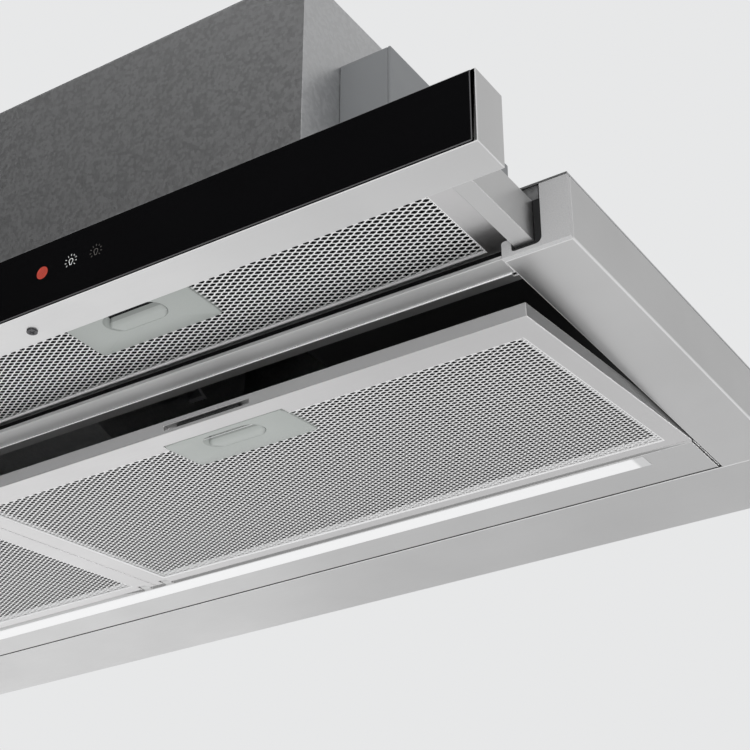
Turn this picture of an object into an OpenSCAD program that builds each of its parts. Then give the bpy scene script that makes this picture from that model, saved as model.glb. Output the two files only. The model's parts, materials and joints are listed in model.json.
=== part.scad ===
// Pull-out range hood for a wall cabinet, 900 mm class.
// A flat steel housing hangs under the cabinet. A carriage with a glass fascia and two narrow
// grease filters slides out of its front. Two wide grease filters close its underside, hinged
// along their rear edge, and are drawn hanging slightly open. The motor box stands above.
// Inside at_origin() x = 0 is the middle, y = 0 the front of the housing, z = 0 its underside.

/* [Housing] */
// Overall width of the hood
hood_w = 898; // [780:1:1100]
// Depth of the lower housing, front face to the seam of the wall strip
body_d = 275; // [270:1:320]
// Height of the lower housing, underside to the face against the cabinet
body_h = 38.5; // [38.5:0.5:50]
// Depth of the strip that closes the gap to the wall
wall_strip_d = 65; // [30:1:90]
// Thickness of the top plate of the housing
tray_t = 1.2; // [0.8:0.1:2]
// Thickness of the folded sheet of the smaller panels
sheet_t = 1.2; // [0.8:0.1:1.5]
// Height that the wall strip turns up at the wall
strip_lip_h = 20; // [8:1:30]

/* [Side profiles] */
// Width of the hollow side wall
wall_w = 16; // [12:0.5:24]
// Wall thickness of the hollow side wall
skin_t = 1.5; // [1:0.1:2.5]
// Clear width of the runner channel
channel_w = 17; // [16.5:0.5:20]
// Thickness of the channel floor
floor_t = 2.4; // [1.6:0.1:3]
// Width of the lip beside the filters
lip_w = 5.6; // [4.6:0.1:8]
// Height of the lip beside the filters
lip_h = 10; // [8:0.5:10]
// Radius inside the channel
channel_r = 3.5; // [1:0.5:5]
// Radius along the lower outer edge
edge_r = 1; // [0.5:0.5:4]
// Depth of the moulded cap on the front end
cap_t = 3; // [2:0.5:6]
// Length of the plug behind the cap
cap_plug = 14; // [8:1:25]

/* [Front crossbar] */
// Depth of the crossbar below the pull-out slot
bar_d = 24.4; // [20:0.1:30]
// Depth of its flat front band, up to the crease
bar_band_d = 14.8; // [8:0.1:17]
// How far its rear flange lies above its front band
bar_step = 2; // [0.2:0.1:2.5]
// Thickness of the hemmed rear flange
bar_hem_t = 1.5; // [1:0.1:1.5]
// Height of its front edge
bar_front_h = 2.2; // [1.5:0.1:4]

/* [Lamp panel] */
// Depth of the lamp panel behind the filters
lamp_panel_d = 41; // [30:0.5:60]
// Depth of the lamp lens
lens_d = 12.8; // [8:0.1:14]
// Distance from each end of the lens to the side of the hood
lens_end = 73.5; // [60:0.5:200]
// How far the lens stands below the panel
lens_drop = 0.2; // [0.1:0.1:1]

/* [Carriage] */
// How far the carriage stands out as drawn, its full travel
pull_out = 65; // [40:1:120]
// Gap left behind the fascia when the carriage is pushed in
close_gap = 0.3; // [0.3:0.1:2]
// Depth of the fascia
fascia_d = 25; // [20:0.5:35]
// Height of the fascia
fascia_h = 42; // [40:0.5:60]
// Width of the steel rim beside the glass
fascia_rim = 2.5; // [1.5:0.1:6]
// Thickness of the fascia glass
glass_t = 4; // [3:0.1:6]
// Length of each side member of the carriage
member_len = 255; // [200:1:258]
// Gap between a side member and the side wall
member_gap = 4.3; // [4:0.1:4.6]
// Width of a side member
member_w = 10.9; // [10.7:0.1:11.2]
// Height of the underside of a side member
member_z = 4.3; // [3.4:0.1:6]
// Distance of the two fascia screws from the middle
fascia_screw_x = 167.2; // [100:0.1:300]
// Distance of the fascia screws behind the front of the fascia
fascia_screw_setback = 14; // [8:0.5:18]
// Distance of the touch board's middle to the right of the hood's middle
board_x = 203; // [150:1:260]
// Height of the touch board's middle
board_z = 23; // [20:0.5:26]
// Width of the touch board
board_w = 95; // [70:1:120]
// Height of the touch board
board_h = 23; // [16:0.5:28]

/* [Slides] */
// Height of the fixed rail under the top plate
rail_h = 6.8; // [6.4:0.1:7.4]
// Width of the fixed rail
rail_w = 13; // [12.5:0.1:13.4]
// Gap between the fixed rail and the side wall
rail_gap = 2.5; // [2:0.1:2.6]
// Clearance of the runner in the rail, each side
slide_gap = 0.3; // [0.3:0.05:0.4]

// Depth of the seal round each side member at the front of its channel
seal_d = 5; // [2:0.5:12]
// Gap between the seal and the side member
seal_gap = 0.3; // [0.3:0.05:0.6]

/* [Filters] */
// Thickness of every filter frame
filter_h = 8; // [7.8:0.1:8.4]
// Gap between the two filters of a pair
pair_gap = 1.5; // [1:0.1:4]
// Angle by which the wide filters hang open as drawn
ajar_deg = 5.4; // [0:0.1:12]
// Distance of a wide filter's side from the lip
main_side_gap = 1.15; // [0.6:0.05:1.5]
// Distance of a wide filter's front from the crossbar
main_front_gap = 0.5; // [0.4:0.1:2]
// Front margin of a wide filter
main_front_rim = 21.1; // [18:0.1:40]
// Side margin of a wide filter
main_side_rim = 13.3; // [13.3:0.1:25]
// Rear margin of a wide filter
main_rear_rim = 12; // [10.5:0.1:20]
// Height of the underside of the narrow filters
front_z = 13.5; // [12:0.1:14.5]
// Front margin of a narrow filter
front_front_rim = 14.5; // [12:0.1:18]
// Side margin of a narrow filter
front_side_rim = 17.5; // [13.3:0.1:25]
// Rear margin of a narrow filter
front_rear_rim = 5.8; // [5:0.1:12]
// How far the mesh lies inside the frame faces
mesh_inset = 0.7; // [0.3:0.1:1.5]
// Radius of the hinge pins
pin_r = 2; // [1.5:0.1:2.2]
// Running clearance of the hinge pins
pin_play = 0.05; // [0.02:0.01:0.08]
// Radius of the hinge eyes around the inner pins
eye_r = 3.6; // [3.4:0.1:3.7]
// Width of the hinge eyes
eye_w = 6; // [4:0.1:6]

/* [Filter handles] */
// Width of the handle plate
handle_w = 84; // [70:1:120]
// Depth of the handle plate
handle_d = 36; // [30:0.5:50]
// Width of the finger recess
recess_w = 40.5; // [36:0.5:50]
// Depth of the finger recess
recess_d = 17.1; // [16:0.1:20]
// Distance from the front of the plate to the recess
recess_setback = 4.2; // [4:0.1:6]
// Corner radius of the recess
recess_r = 4; // [2:0.5:6]
// Distance of the plate from the front of a wide filter
main_handle_setback = 14.2; // [13:0.1:30]
// Distance of the plate from the front of a narrow filter
front_handle_setback = 10.5; // [10:0.1:14]
// Width of the slot in the front face of a filter
slot_w = 60; // [50:1:80]
// Width of the latch tongue
tongue_w = 44; // [30:1:48]
// Thickness of the latch tongue
tongue_t = 2.2; // [1.6:0.1:2.4]
// Height of the underside of the tongue above the frame's underside
tongue_z = 2.4; // [2.3:0.1:2.8]
// Travel of the latch between open and locked
latch_travel = 2.5; // [1.5:0.1:2.6]

/* [Motor box] */
// Width of the motor box
box_w = 526; // [420:1:600]
// Distance of the motor box in front of the seam of the wall strip
box_rear_gap = 0; // [0:1:5]
// Height of the motor box above the housing
box_h = 250; // [240:1:340]
// Distance of the motor box behind the front of the housing
box_setback = 30; // [24:1:30]
// Sheet thickness of the motor box
box_t = 1; // [0.8:0.1:1.5]
// Depth of the seat pressed into the top plate for the motor box
seat_d = 0.4; // [0.2:0.1:0.6]
// Distance of the front box screws behind the front of the motor box
box_screw_front = 30; // [24:1:40]
// Distance of the rear box screws in front of its rear
box_screw_rear = 60; // [50:1:70]
// Outer radius of the outlet collar
duct_r = 75; // [60:0.5:75]
// Height of the outlet collar
duct_h = 58; // [30:1:90]
// Distance of the outlet's middle from the front of the motor box
duct_setback = 160; // [150:1:162]
// Thickness of the non-return flaps
flap_t = 1.5; // [1:0.1:2]
// Height of the flaps' hinges above the motor box
flap_lift = 14; // [10:1:20]
// Radius of the fan wheel
wheel_r = 70; // [55:0.5:72]
// Distance of the fan shaft behind the front of the motor box
fan_setback = 98; // [96:1:100]
// Gap between the wheel and the scroll where the spiral starts
scroll_gap = 8; // [6:1:9]
// Gap between the wheel and the scroll where the spiral ends
scroll_reach = 50; // [46:1:50]
// Gap between the wheel and each side of the scroll
scroll_side = 8; // [6:1:10]
// Thickness of the scroll's sheet
scroll_t = 1.5; // [1:0.1:2]
// Height of the scroll above the top plate
scroll_lift = 6.7; // [5:0.1:9]
// Width of the fan wheel
wheel_w = 100; // [70:1:110]
// Number of blades on each half of the fan wheel
blades = 30; // [18:1:40]
// Radius of the motor shaft
shaft_r = 4; // [3:0.5:6]
// Radius of the fan motor
motor_r = 42; // [34:0.5:46]
// Length of the fan motor
motor_len = 62; // [40:1:80]
// Gap between the scroll and the motor
motor_gap = 4; // [3:0.5:6]
// Distance of the bracket's band behind the motor's front
band_setback = 8; // [6:0.5:12]
// Width of the bracket's band round the motor
band_w = 10; // [8:0.5:14]

/* [Electrics] */
// Width of the control box beside the motor box
ctrl_w = 36; // [30:1:50]
// Depth of the control box
ctrl_d = 150; // [145:1:160]
// Height of the control box
ctrl_h = 120; // [118:1:130]
// Wall thickness of the control box
ctrl_t = 2; // [1.5:0.1:3]
// Height of the control box above the housing
ctrl_lift = 80; // [40:1:100]
// Distance of the control box behind the front of the motor box
ctrl_setback = 40; // [10:1:60]

/* [Fixings] */
// Distance of the cabinet screws from each side of the hood
hole_inset = 49; // [45:1:110]
// Spacing of the cabinet screws front to back
hole_dy = 200; // [150:1:204]
// Distance of the front cabinet screws behind the front of the housing
hole_y = 50; // [30:1:54]
// Radius of the cabinet screw holes
hole_r = 2.75; // [2:0.05:4]

/* [Hidden] */
$fn = 48;
eps = 0.01;
half_w = hood_w / 2;
wall_x = half_w - wall_w;
channel_x = wall_x - channel_w;
lip_x = channel_x - lip_w;
top_z = body_h - tray_t;
hole_dx = hood_w - 2 * hole_inset;
lamp_y = body_d - lamp_panel_d;
lens_y = lamp_y + sheet_t;
lens_x = half_w - lens_end;
hinge_gap = 0.5;
round_off = 0.5;
// Wide filters
main_y0 = bar_d + main_front_gap;
main_y1 = lamp_y - hinge_gap;
main_pivot_y = main_y1 - filter_h / 2 - round_off;
main_pivot_z = filter_h / 2;
main_x1 = lip_x - main_side_gap;
main_w = main_x1 - pair_gap / 2;
// Carriage
fascia_y1 = -pull_out;
fascia_y0 = fascia_y1 - fascia_d;
member_x = wall_x - member_gap;
rail_z = top_z - rail_h;
member_top = rail_z - 1.8;
rail_x = wall_x - rail_gap;
rail_t = 1.2;
runner_x = rail_x - rail_w / 2;
member_y1 = fascia_y1 + member_len;
// Narrow filters
front_y0 = fascia_y1 + 0.5;
front_y1 = 14.4;
front_pivot_y = front_y1 - filter_h / 2 - 0.4;
front_pivot_z = front_z + filter_h / 2;
front_x1 = channel_x - 1;
front_w = front_x1 - pair_gap / 2;
// Motor box
box_y0 = box_setback;
box_d = body_d - box_setback - box_rear_gap;
box_z0 = body_h - seat_d;
box_z1 = body_h + box_h;
lid_z = box_z1 - box_t;
fan_y = box_y0 + fan_setback;
scroll_r0 = wheel_r + scroll_gap;
scroll_r1 = wheel_r + scroll_reach;
scroll_w = wheel_w + 2 * scroll_side;
fan_z = body_h + scroll_lift + scroll_r0 + 0.7 * (scroll_r1 - scroll_r0) - 0.1;
cut_a = 70;
duct_y = box_y0 + duct_setback;
duct_t = 2;
flap_z = box_z1 + flap_lift;
flap_pin_y = 3.2;

// Puts the origin at the middle of the four cabinet screw holes, on the top face
module at_origin() translate([0, -(hole_y + hole_dy / 2), -body_h]) children();

// The left-hand twin of a right-hand piece
module left() mirror([1, 0, 0]) children();

// A box from its two corners
module box(x0, x1, y0, y1, z0, z1) translate([x0, y0, z0]) cube([x1 - x0, y1 - y0, z1 - z0]);

// Extrudes an outline drawn in x and z along y
module along_y(y0, y1) translate([0, y1, 0]) rotate([90, 0, 0]) linear_extrude(y1 - y0) children();

// Extrudes an outline drawn in y and z along x
module along_x(x0, x1) translate([x0, 0, 0]) rotate([90, 0, 90]) linear_extrude(x1 - x0) children();

// A rod along x
module rod(x0, x1, y, z, r) translate([x0, y, z]) rotate([0, 90, 0]) cylinder(r = r, h = x1 - x0);

// A rod along z
module post(x, y, z0, z1, r) translate([x, y, z0]) cylinder(r = r, h = z1 - z0);

// A rectangle from its two corners
module rect(x0, x1, y0, y1) translate([x0, y0]) square([x1 - x0, y1 - y0]);

// A rectangle with four round corners
module round_rect(x0, x1, y0, y1, r) {
    rect(x0 + r, x1 - r, y0, y1);
    rect(x0, x1, y0 + r, y1 - r);
    for (x = [x0 + r, x1 - r], y = [y0 + r, y1 - r]) translate([x, y]) circle(r);
}

// What a round edge takes off a square corner at [x, y] that points to the signs sx and sy
module corner_cut(x, y, r, sx, sy) difference() {
    rect(min(x, x - sx * r) - (sx < 0 ? eps : 0), max(x, x - sx * r) + (sx > 0 ? eps : 0),
        min(y, y - sy * r) - (sy < 0 ? eps : 0), max(y, y - sy * r) + (sy > 0 ? eps : 0));
    translate([x - sx * r, y - sy * r]) circle(r);
}

// ---- Lower housing ----

// Outer section of a side profile: side wall, channel floor and lip, drawn in x and z
module side_outline() difference() {
    union() {
        rect(wall_x, half_w, 0, top_z);
        rect(channel_x - eps, wall_x + eps, 0, floor_t);
        rect(lip_x, channel_x, 0, lip_h);
        rect(wall_x - channel_r, wall_x + eps, floor_t - eps, floor_t + channel_r);
        rect(channel_x - eps, channel_x + channel_r / 2, floor_t - eps, floor_t + channel_r / 2);
    }
    translate([wall_x - channel_r, floor_t + channel_r]) circle(channel_r);
    translate([channel_x + channel_r / 2, floor_t + channel_r / 2]) circle(channel_r / 2);
    corner_cut(half_w, 0, edge_r, 1, -1);
    corner_cut(lip_x, lip_h, 1.5, -1, 1);
    corner_cut(channel_x, lip_h, 1, 1, 1);
}

// The hollow of the side wall, smaller by g on each side
module side_hollow(g) rect(wall_x + skin_t + g, half_w - skin_t - g, skin_t + g, top_z - skin_t - g);

screw_y = [25, body_d / 2, body_d - 25];
screw_x = half_w - wall_w / 2;

module side_profile() color("lightgray") difference() {
    along_y(cap_t, body_d) difference() {
        side_outline();
        side_hollow(0);
    }
    rod(lip_x - 1, lip_x + 3.2, main_pivot_y, main_pivot_z, pin_r + pin_play);
    for (y = screw_y) post(screw_x, y, top_z - skin_t - 1, top_z + 1, 1.9);
}

module end_cap() color("silver") {
    along_y(0, cap_t) side_outline();
    along_y(cap_t - eps, cap_t + cap_plug) side_hollow(0.2);
}

// Folded bar under the pull-out slot: flat band, raised bead at the crease, hemmed rear flange
module front_crossbar() color("silver") difference() {
    along_x(-lip_x, lip_x) difference() {
        union() {
            rect(0, bar_band_d - 0.8, 0, sheet_t);
            rect(0, sheet_t, 0, bar_front_h);
            translate([bar_band_d - 1, 0.8]) circle(1);
            polygon([[bar_band_d - 1, 0.1], [bar_d, bar_step], [bar_d, bar_step + bar_hem_t],
                [bar_band_d - 1, sheet_t]]);
        }
        corner_cut(0, 0, 0.6, -1, -1);
    }
    for (s = [-1, 1]) box(s * (lip_x - 1.2) - 1.6, s * (lip_x - 1.2) + 1.6, bar_band_d - 0.5,
        bar_band_d + 3.5, -1, 4);
}

// Hinge eye for an inner pin, with an arm back to its carrier at y1
module hinge_eye(x, y, z, y1) difference() {
    union() {
        rod(x - eye_w / 2, x + eye_w / 2, y, z, eye_r);
        box(x - eye_w / 2, x + eye_w / 2, y, y1, z - eye_r, z + eye_r);
    }
    rod(x - eye_w, x + eye_w, y, z, pin_r + pin_play);
}

eye_x = 9.5;

// Trough behind the wide filters, with the lamp slot in its floor
module led_panel() color("lightgray") {
    difference() {
        box(-lip_x, lip_x, lamp_y, body_d, 0, top_z);
        box(-lip_x + sheet_t, lip_x - sheet_t, lamp_y + sheet_t, body_d - sheet_t, sheet_t, top_z + 1);
        box(-lens_x, lens_x, lens_y, lens_y + lens_d, -1, sheet_t + 1);
    }
    for (s = [-1, 1]) hinge_eye(s * eye_x, main_pivot_y, main_pivot_z, lamp_y + eps);
}

module led_lens() color("white") {
    box(-lens_x + 0.1, lens_x - 0.1, lens_y + 0.1, lens_y + lens_d - 0.1, -lens_drop, sheet_t + eps);
    box(-lens_x - 3, lens_x + 3, lens_y + 0.1, lens_y + lens_d + 2, sheet_t, sheet_t + 2);
}

module led_board() color("seagreen") {
    box(-lens_x + 4, lens_x - 4, lens_y + 1, lens_y + lens_d - 1, sheet_t + 2, sheet_t + 3.6);
}

// Strip between the housing and the wall
module wall_strip() color("lightgray") difference() {
    box(-half_w, half_w, body_d, body_d + wall_strip_d, 0, top_z);
    box(-half_w + sheet_t, half_w - sheet_t, body_d + sheet_t, body_d + wall_strip_d + 1, strip_lip_h,
        top_z + 1);
    box(-half_w + sheet_t, half_w - sheet_t, body_d + sheet_t, body_d + wall_strip_d - sheet_t,
        sheet_t, top_z + 1);
    box(-half_w - 1, half_w + 1, body_d + sheet_t, body_d + wall_strip_d + 1, strip_lip_h, top_z + 1);
}

tray_x = box_w / 2 - 23;
tray_y0 = box_y0 + 12;
tray_y1 = lamp_y - 12;

// Top plate of the housing, with the air opening and the cabinet screw holes
module chassis_tray() color("gainsboro") difference() {
    box(-half_w, half_w, 0, body_d, top_z, body_h);
    box(-box_w / 2 - 0.5, box_w / 2 + 0.5, box_y0 - 0.5, box_y0 + box_d + box_rear_gap + 1, box_z0,
        body_h + 1);
    box(-tray_x, tray_x, tray_y0, tray_y1, top_z - 1, body_h + 1);
    for (x = [-hole_dx / 2, hole_dx / 2], y = [hole_y, hole_y + hole_dy])
        post(x, y, top_z - 1, body_h + 1, hole_r);
    for (s = [-1, 1], y = screw_y) post(s * screw_x, y, top_z - 1, body_h + 1, 3.6);
    for (s = [-1, 1], y = box_screw_y) post(s * box_screw_x, y, top_z - 1, body_h + 1, 1.9);
}

box_screw_x = box_w / 2 - 7;
box_screw_y = [box_y0 + box_screw_front, box_y0 + box_d - box_screw_rear];

module housing_screws() color("dimgray") {
    for (s = [-1, 1], y = screw_y) {
        post(s * screw_x, y, top_z, body_h, 3.4);
        post(s * screw_x, y, top_z - 9, top_z + eps, 1.8);
    }
    for (s = [-1, 1], y = box_screw_y) {
        post(s * box_screw_x, y, top_z - 2, top_z, 3.4);
        post(s * box_screw_x, y, top_z - eps, body_h + 6, 1.8);
    }
}

// ---- Slides ----

// Fixed rail, open below, with a plate across its front that stops the runner
module slide_rail() color("silver") {
    along_y(2, body_d - 17) difference() {
        rect(rail_x - rail_w, rail_x, rail_z, top_z);
        rect(rail_x - rail_w + rail_t, rail_x - rail_t, rail_z + rail_t, top_z - rail_t);
        rect(runner_x - 3, runner_x + 3, rail_z - 1, rail_z + rail_t + 1);
    }
    box(rail_x - rail_w - 0.5, wall_x - 1, 1, 2 + eps, member_top + 0.3, top_z);
}

// J-shaped seal that closes the channel round the side member
module channel_seal() color("black") along_y(0.5, 0.5 + seal_d) difference() {
    union() {
        rect(member_x + seal_gap, wall_x, floor_t, member_top);
        rect(channel_x, wall_x, floor_t, member_z - seal_gap);
        rect(channel_x, member_x - member_w - seal_gap, floor_t, lip_h - 1);
    }
    side_outline();
}

runner_y0 = 2.5;

module slide_runner() color("dimgray") along_y(runner_y0, member_y1) {
    rect(runner_x - 3 + slide_gap, runner_x + 3 - slide_gap, member_top, rail_z + rail_t + slide_gap + eps);
    rect(rail_x - rail_w + rail_t + slide_gap, rail_x - rail_t - slide_gap,
        rail_z + rail_t + slide_gap, top_z - rail_t - slide_gap);
}

// ---- Carriage ----

// C-shaped side member that hangs on its runner
module carriage_side() color("silver") {
    along_y(fascia_y1, member_y1) difference() {
        rect(member_x - member_w, member_x, member_z, member_top);
        rect(member_x - member_w - 1, member_x - sheet_t, member_z + 1.5, member_top - sheet_t);
    }
}

glass_y1 = fascia_y0 - 0.3 + glass_t;

// Steel pan of the fascia, open behind for the latches of the narrow filters
module fascia_body() color("silver") difference() {
    along_y(fascia_y0, fascia_y1) rect(-half_w, half_w, 0, fascia_h);
    box(-half_w + fascia_rim, half_w - fascia_rim, fascia_y0 - 1, glass_y1 + 0.1, 0.8, fascia_h + 1);
    box(-half_w + sheet_t, half_w - sheet_t, glass_y1 + 0.1 + sheet_t, fascia_y1 - sheet_t,
        sheet_t, fascia_h - sheet_t);
    box(board_x - board_w / 2 - 0.5, board_x + board_w / 2 + 0.5, glass_y1 - 1, glass_y1 + 3,
        board_z - board_h / 2 - 0.5, board_z + board_h / 2 + 0.5);
    for (s = [-1, 1]) {
        box(s * (pair_gap / 2 + front_w / 2) - tongue_w / 2 - 1, s * (pair_gap / 2 + front_w / 2)
            + tongue_w / 2 + 1, fascia_y1 - sheet_t - 1, fascia_y1 + 1, front_z + tongue_z - 0.4,
            front_z + tongue_z + tongue_t + 0.4);
        post(s * fascia_screw_x, fascia_y0 + fascia_screw_setback, -1, sheet_t + 1, 1.6);
    }
}

module fascia_glass() color([0.04, 0.04, 0.05]) {
    box(-half_w + fascia_rim + 0.15, half_w - fascia_rim - 0.15, fascia_y0 - 0.3, glass_y1, 1.1, fascia_h);
}

module touch_board() color("seagreen") {
    box(board_x - board_w / 2, board_x + board_w / 2, glass_y1, glass_y1 + 1.6,
        board_z - board_h / 2, board_z + board_h / 2);
}

module fascia_screws() color("dimgray") for (s = [-1, 1]) difference() {
    union() {
        post(s * fascia_screw_x, fascia_y0 + fascia_screw_setback, -0.9, 0, 3);
        post(s * fascia_screw_x, fascia_y0 + fascia_screw_setback, -eps, 8, 1.5);
    }
    for (a = [0, 90]) translate([s * fascia_screw_x, fascia_y0 + fascia_screw_setback, -0.9]) rotate(a)
        cube([3.6, 0.8, 1.2], center = true);
}

rear_rail_y = front_y1 + 0.8;
rear_rail_z = front_z + 4;

// Bar across the carriage behind the narrow filters, with their hinge eyes
module carriage_rear_rail() color("dimgray") {
    difference() {
        box(-member_x + sheet_t, member_x - sheet_t, rear_rail_y, rear_rail_y + 6, rear_rail_z,
            member_top - sheet_t - 0.6);
        box(-member_x + 2 * sheet_t, member_x - 2 * sheet_t, rear_rail_y + 1, rear_rail_y + 5,
            rear_rail_z + 1, member_top - sheet_t - 1.6);
    }
    for (s = [-1, 1]) {
        hinge_eye(s * eye_x, front_pivot_y, front_pivot_z, rear_rail_y + eps);
        side_eye(s);
    }
}

// Thin eye beside a narrow filter, on the side s
module side_eye(s) difference() {
    union() {
        rod(min(s * (front_x1 + 0.6), s * (front_x1 + 2.4)), max(s * (front_x1 + 0.6), s * (front_x1 + 2.4)),
            front_pivot_y, front_pivot_z, eye_r);
        box(min(s * (front_x1 + 0.6), s * (front_x1 + 2.4)), max(s * (front_x1 + 0.6), s * (front_x1 + 2.4)),
            front_pivot_y, rear_rail_y + eps, front_pivot_z - eye_r, front_pivot_z + eye_r);
    }
    rod(s * front_x1 - 4, s * front_x1 + 4, front_pivot_y, front_pivot_z, pin_r + pin_play);
}

module carriage_magnet() color("black")
    box(member_x - 9.2, member_x - sheet_t, member_y1 - 9, member_y1 - 1, 16, 24);

module carriage_sensor() color("black")
    box(member_x - 10, member_x - 1, body_d - 12, body_d, 14, 26);

// ---- Filters, drawn closed with x measured from the middle of the hood ----

// Depth of the notch that lets the inner hinge eye in
notch_d = eye_r + 0.9;

// Frame of one filter from x0 to x1 and y0 to y1, its underside at z0
module filter_frame(x0, x1, y0, y1, z0, front_rim, side_rim, rear_rim, py, setback) {
    pz = z0 + filter_h / 2;
    hx = (x0 + x1) / 2;
    difference() {
        along_x(x0, x1) union() {
            rect(y0, y1 - filter_h / 2, z0, z0 + filter_h);
            translate([y1 - filter_h / 2, pz]) circle(filter_h / 2);
        }
        box(x0 + side_rim, x1 - side_rim, y0 + front_rim, y1 - rear_rim, z0 - 1, z0 + filter_h + 1);
        box(hx - handle_w / 2 - 0.2, hx + handle_w / 2 + 0.2, y0 + setback - 0.2,
            y0 + setback + handle_d + 0.2, z0 - 1, z0 + filter_h + 1);
        box(hx - slot_w / 2, hx + slot_w / 2, y0 - 1, y0 + 4, z0 + tongue_z - 0.3,
            z0 + tongue_z + tongue_t + 0.3);
        box(hx - tongue_w / 2 - 0.4, hx + tongue_w / 2 + 0.4, y0 - 1, y0 + setback + 1,
            z0 + tongue_z - 0.3, z0 + tongue_z + tongue_t + 0.3);
        box(hx - recess_w / 2, hx + recess_w / 2, y0 + setback - 3.6, y0 + setback + 1,
            z0 + tongue_z - 0.3, z0 + filter_h - 0.9);
        box(eye_x - eye_w / 2 - 0.4, eye_x + eye_w / 2 + 0.4, py - notch_d, y1 + 1, z0 - 1,
            z0 + filter_h + 1);
    }
    rod(eye_x - eye_w / 2 - 1, eye_x + eye_w / 2 + 1, py, pz, pin_r);
}

// Mesh pack of one filter, cut away for the handle
module filter_mesh(x0, x1, y0, y1, z0, front_rim, side_rim, rear_rim, setback) difference() {
    hx = (x0 + x1) / 2;
    box(x0 + side_rim, x1 - side_rim, y0 + front_rim, y1 - rear_rim, z0 + mesh_inset,
        z0 + filter_h - mesh_inset);
    box(hx - handle_w / 2, hx + handle_w / 2, y0 + setback - 1, y0 + setback + handle_d, z0 - 1,
        z0 + filter_h + 1);
}

handle_drop = 0.4;
pocket_z = filter_h - 0.9;

// Handle with its finger recess; the middle at hx, its front edge at y0
module filter_handle(hx, y0, z0) translate([hx, y0, z0]) difference() {
    box(-handle_w / 2, handle_w / 2, 0, handle_d, -handle_drop, filter_h - 0.1);
    translate([0, 0, -handle_drop - 1]) linear_extrude(pocket_z + handle_drop + 1)
        round_rect(-recess_w / 2, recess_w / 2, recess_setback, recess_setback + recess_d, recess_r);
    box(-tongue_w / 2 - 0.4, tongue_w / 2 + 0.4, -1, recess_setback + 1 - 2.6, tongue_z - 0.3,
        tongue_z + tongue_t + 0.3);
    box(-latch_w / 2 - 0.4, latch_w / 2 + 0.4, -1, recess_setback + 4.1, tongue_z - 0.3, pocket_z);
    for (s = [-1, 1]) box(s * (handle_w + recess_w) / 4 - 8, s * (handle_w + recess_w) / 4 + 8,
        8, handle_d - 3, 1.6, filter_h + 1);
    box(-recess_w / 2, recess_w / 2, recess_setback + recess_d + 2.5, handle_d - 2.5, 1.6, filter_h + 1);
}

latch_w = recess_w - 6;

// Latch: a tongue in the front slot and a scoop in the finger recess, drawn back
module filter_latch(hx, y0, z0, setback) translate([hx, y0, z0]) {
    box(-tongue_w / 2, tongue_w / 2, 0, setback + recess_setback - 3.4, tongue_z, tongue_z + tongue_t);
    box(-latch_w / 2, latch_w / 2, setback + recess_setback - 3.5, setback + recess_setback - 0.4,
        tongue_z, pocket_z - 0.3);
    translate([0, setback + recess_setback, 0]) along_x(-latch_w / 2, latch_w / 2)
        polygon([[-0.5, pocket_z - 1.5], [-0.5, pocket_z - 0.3], [recess_d - 0.5, pocket_z - 0.3],
            [recess_d - 0.5, 0.2], [recess_d - 1, -0.2], [recess_d - 1.6, -0.2], [3.8, pocket_z - 1.5]]);
}

module main_frame() color("silver") {
    filter_frame(pair_gap / 2, main_x1, main_y0, main_y1, 0, main_front_rim, main_side_rim,
        main_rear_rim, main_pivot_y, main_handle_setback);
    rod(main_x1 - 1, lip_x + 2.8, main_pivot_y, main_pivot_z, pin_r);
}

module main_mesh() color("gray") filter_mesh(pair_gap / 2, main_x1, main_y0, main_y1, 0,
    main_front_rim, main_side_rim, main_rear_rim, main_handle_setback);

module main_handle() color([0.68, 0.71, 0.69])
    filter_handle((pair_gap / 2 + main_x1) / 2, main_y0 + main_handle_setback, 0);

module main_latch() color([0.62, 0.65, 0.63])
    filter_latch((pair_gap / 2 + main_x1) / 2, main_y0, 0, main_handle_setback);

module front_frame() color("silver") {
    filter_frame(pair_gap / 2, front_x1, front_y0, front_y1, front_z, front_front_rim,
        front_side_rim, front_rear_rim, front_pivot_y, front_handle_setback);
    rod(front_x1 - 1, front_x1 + 2.2, front_pivot_y, front_pivot_z, pin_r);
}

module front_mesh() color("gray") filter_mesh(pair_gap / 2, front_x1, front_y0, front_y1, front_z,
    front_front_rim, front_side_rim, front_rear_rim, front_handle_setback);

module front_handle() color([0.68, 0.71, 0.69])
    filter_handle((pair_gap / 2 + front_x1) / 2, front_y0 + front_handle_setback, front_z);

module front_latch() color([0.62, 0.65, 0.63])
    filter_latch((pair_gap / 2 + front_x1) / 2, front_y0, front_z, front_handle_setback);

// Turns a wide filter down about its hinge pins
module ajar() translate([0, main_pivot_y, main_pivot_z]) rotate([ajar_deg, 0, 0])
    translate([0, -main_pivot_y, -main_pivot_z]) children();

// ---- Motor box and fan ----

// Sheet box, open above, with a rim below that stands in its seat on the top plate
module motor_box() color("gainsboro") difference() {
    box(-box_w / 2, box_w / 2, box_y0, box_y0 + box_d, box_z0, lid_z);
    box(-box_w / 2 + box_t, box_w / 2 - box_t, box_y0 + box_t, box_y0 + box_d - box_t,
        box_z0 + box_t, lid_z + 1);
    box(-tray_x, tray_x, tray_y0, tray_y1, box_z0 - 1, body_h + box_t + 1);
    for (s = [-1, 1], y = box_screw_y) post(s * box_screw_x, y, box_z0 - 1, body_h + box_t + 1, 1.9);
}

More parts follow.
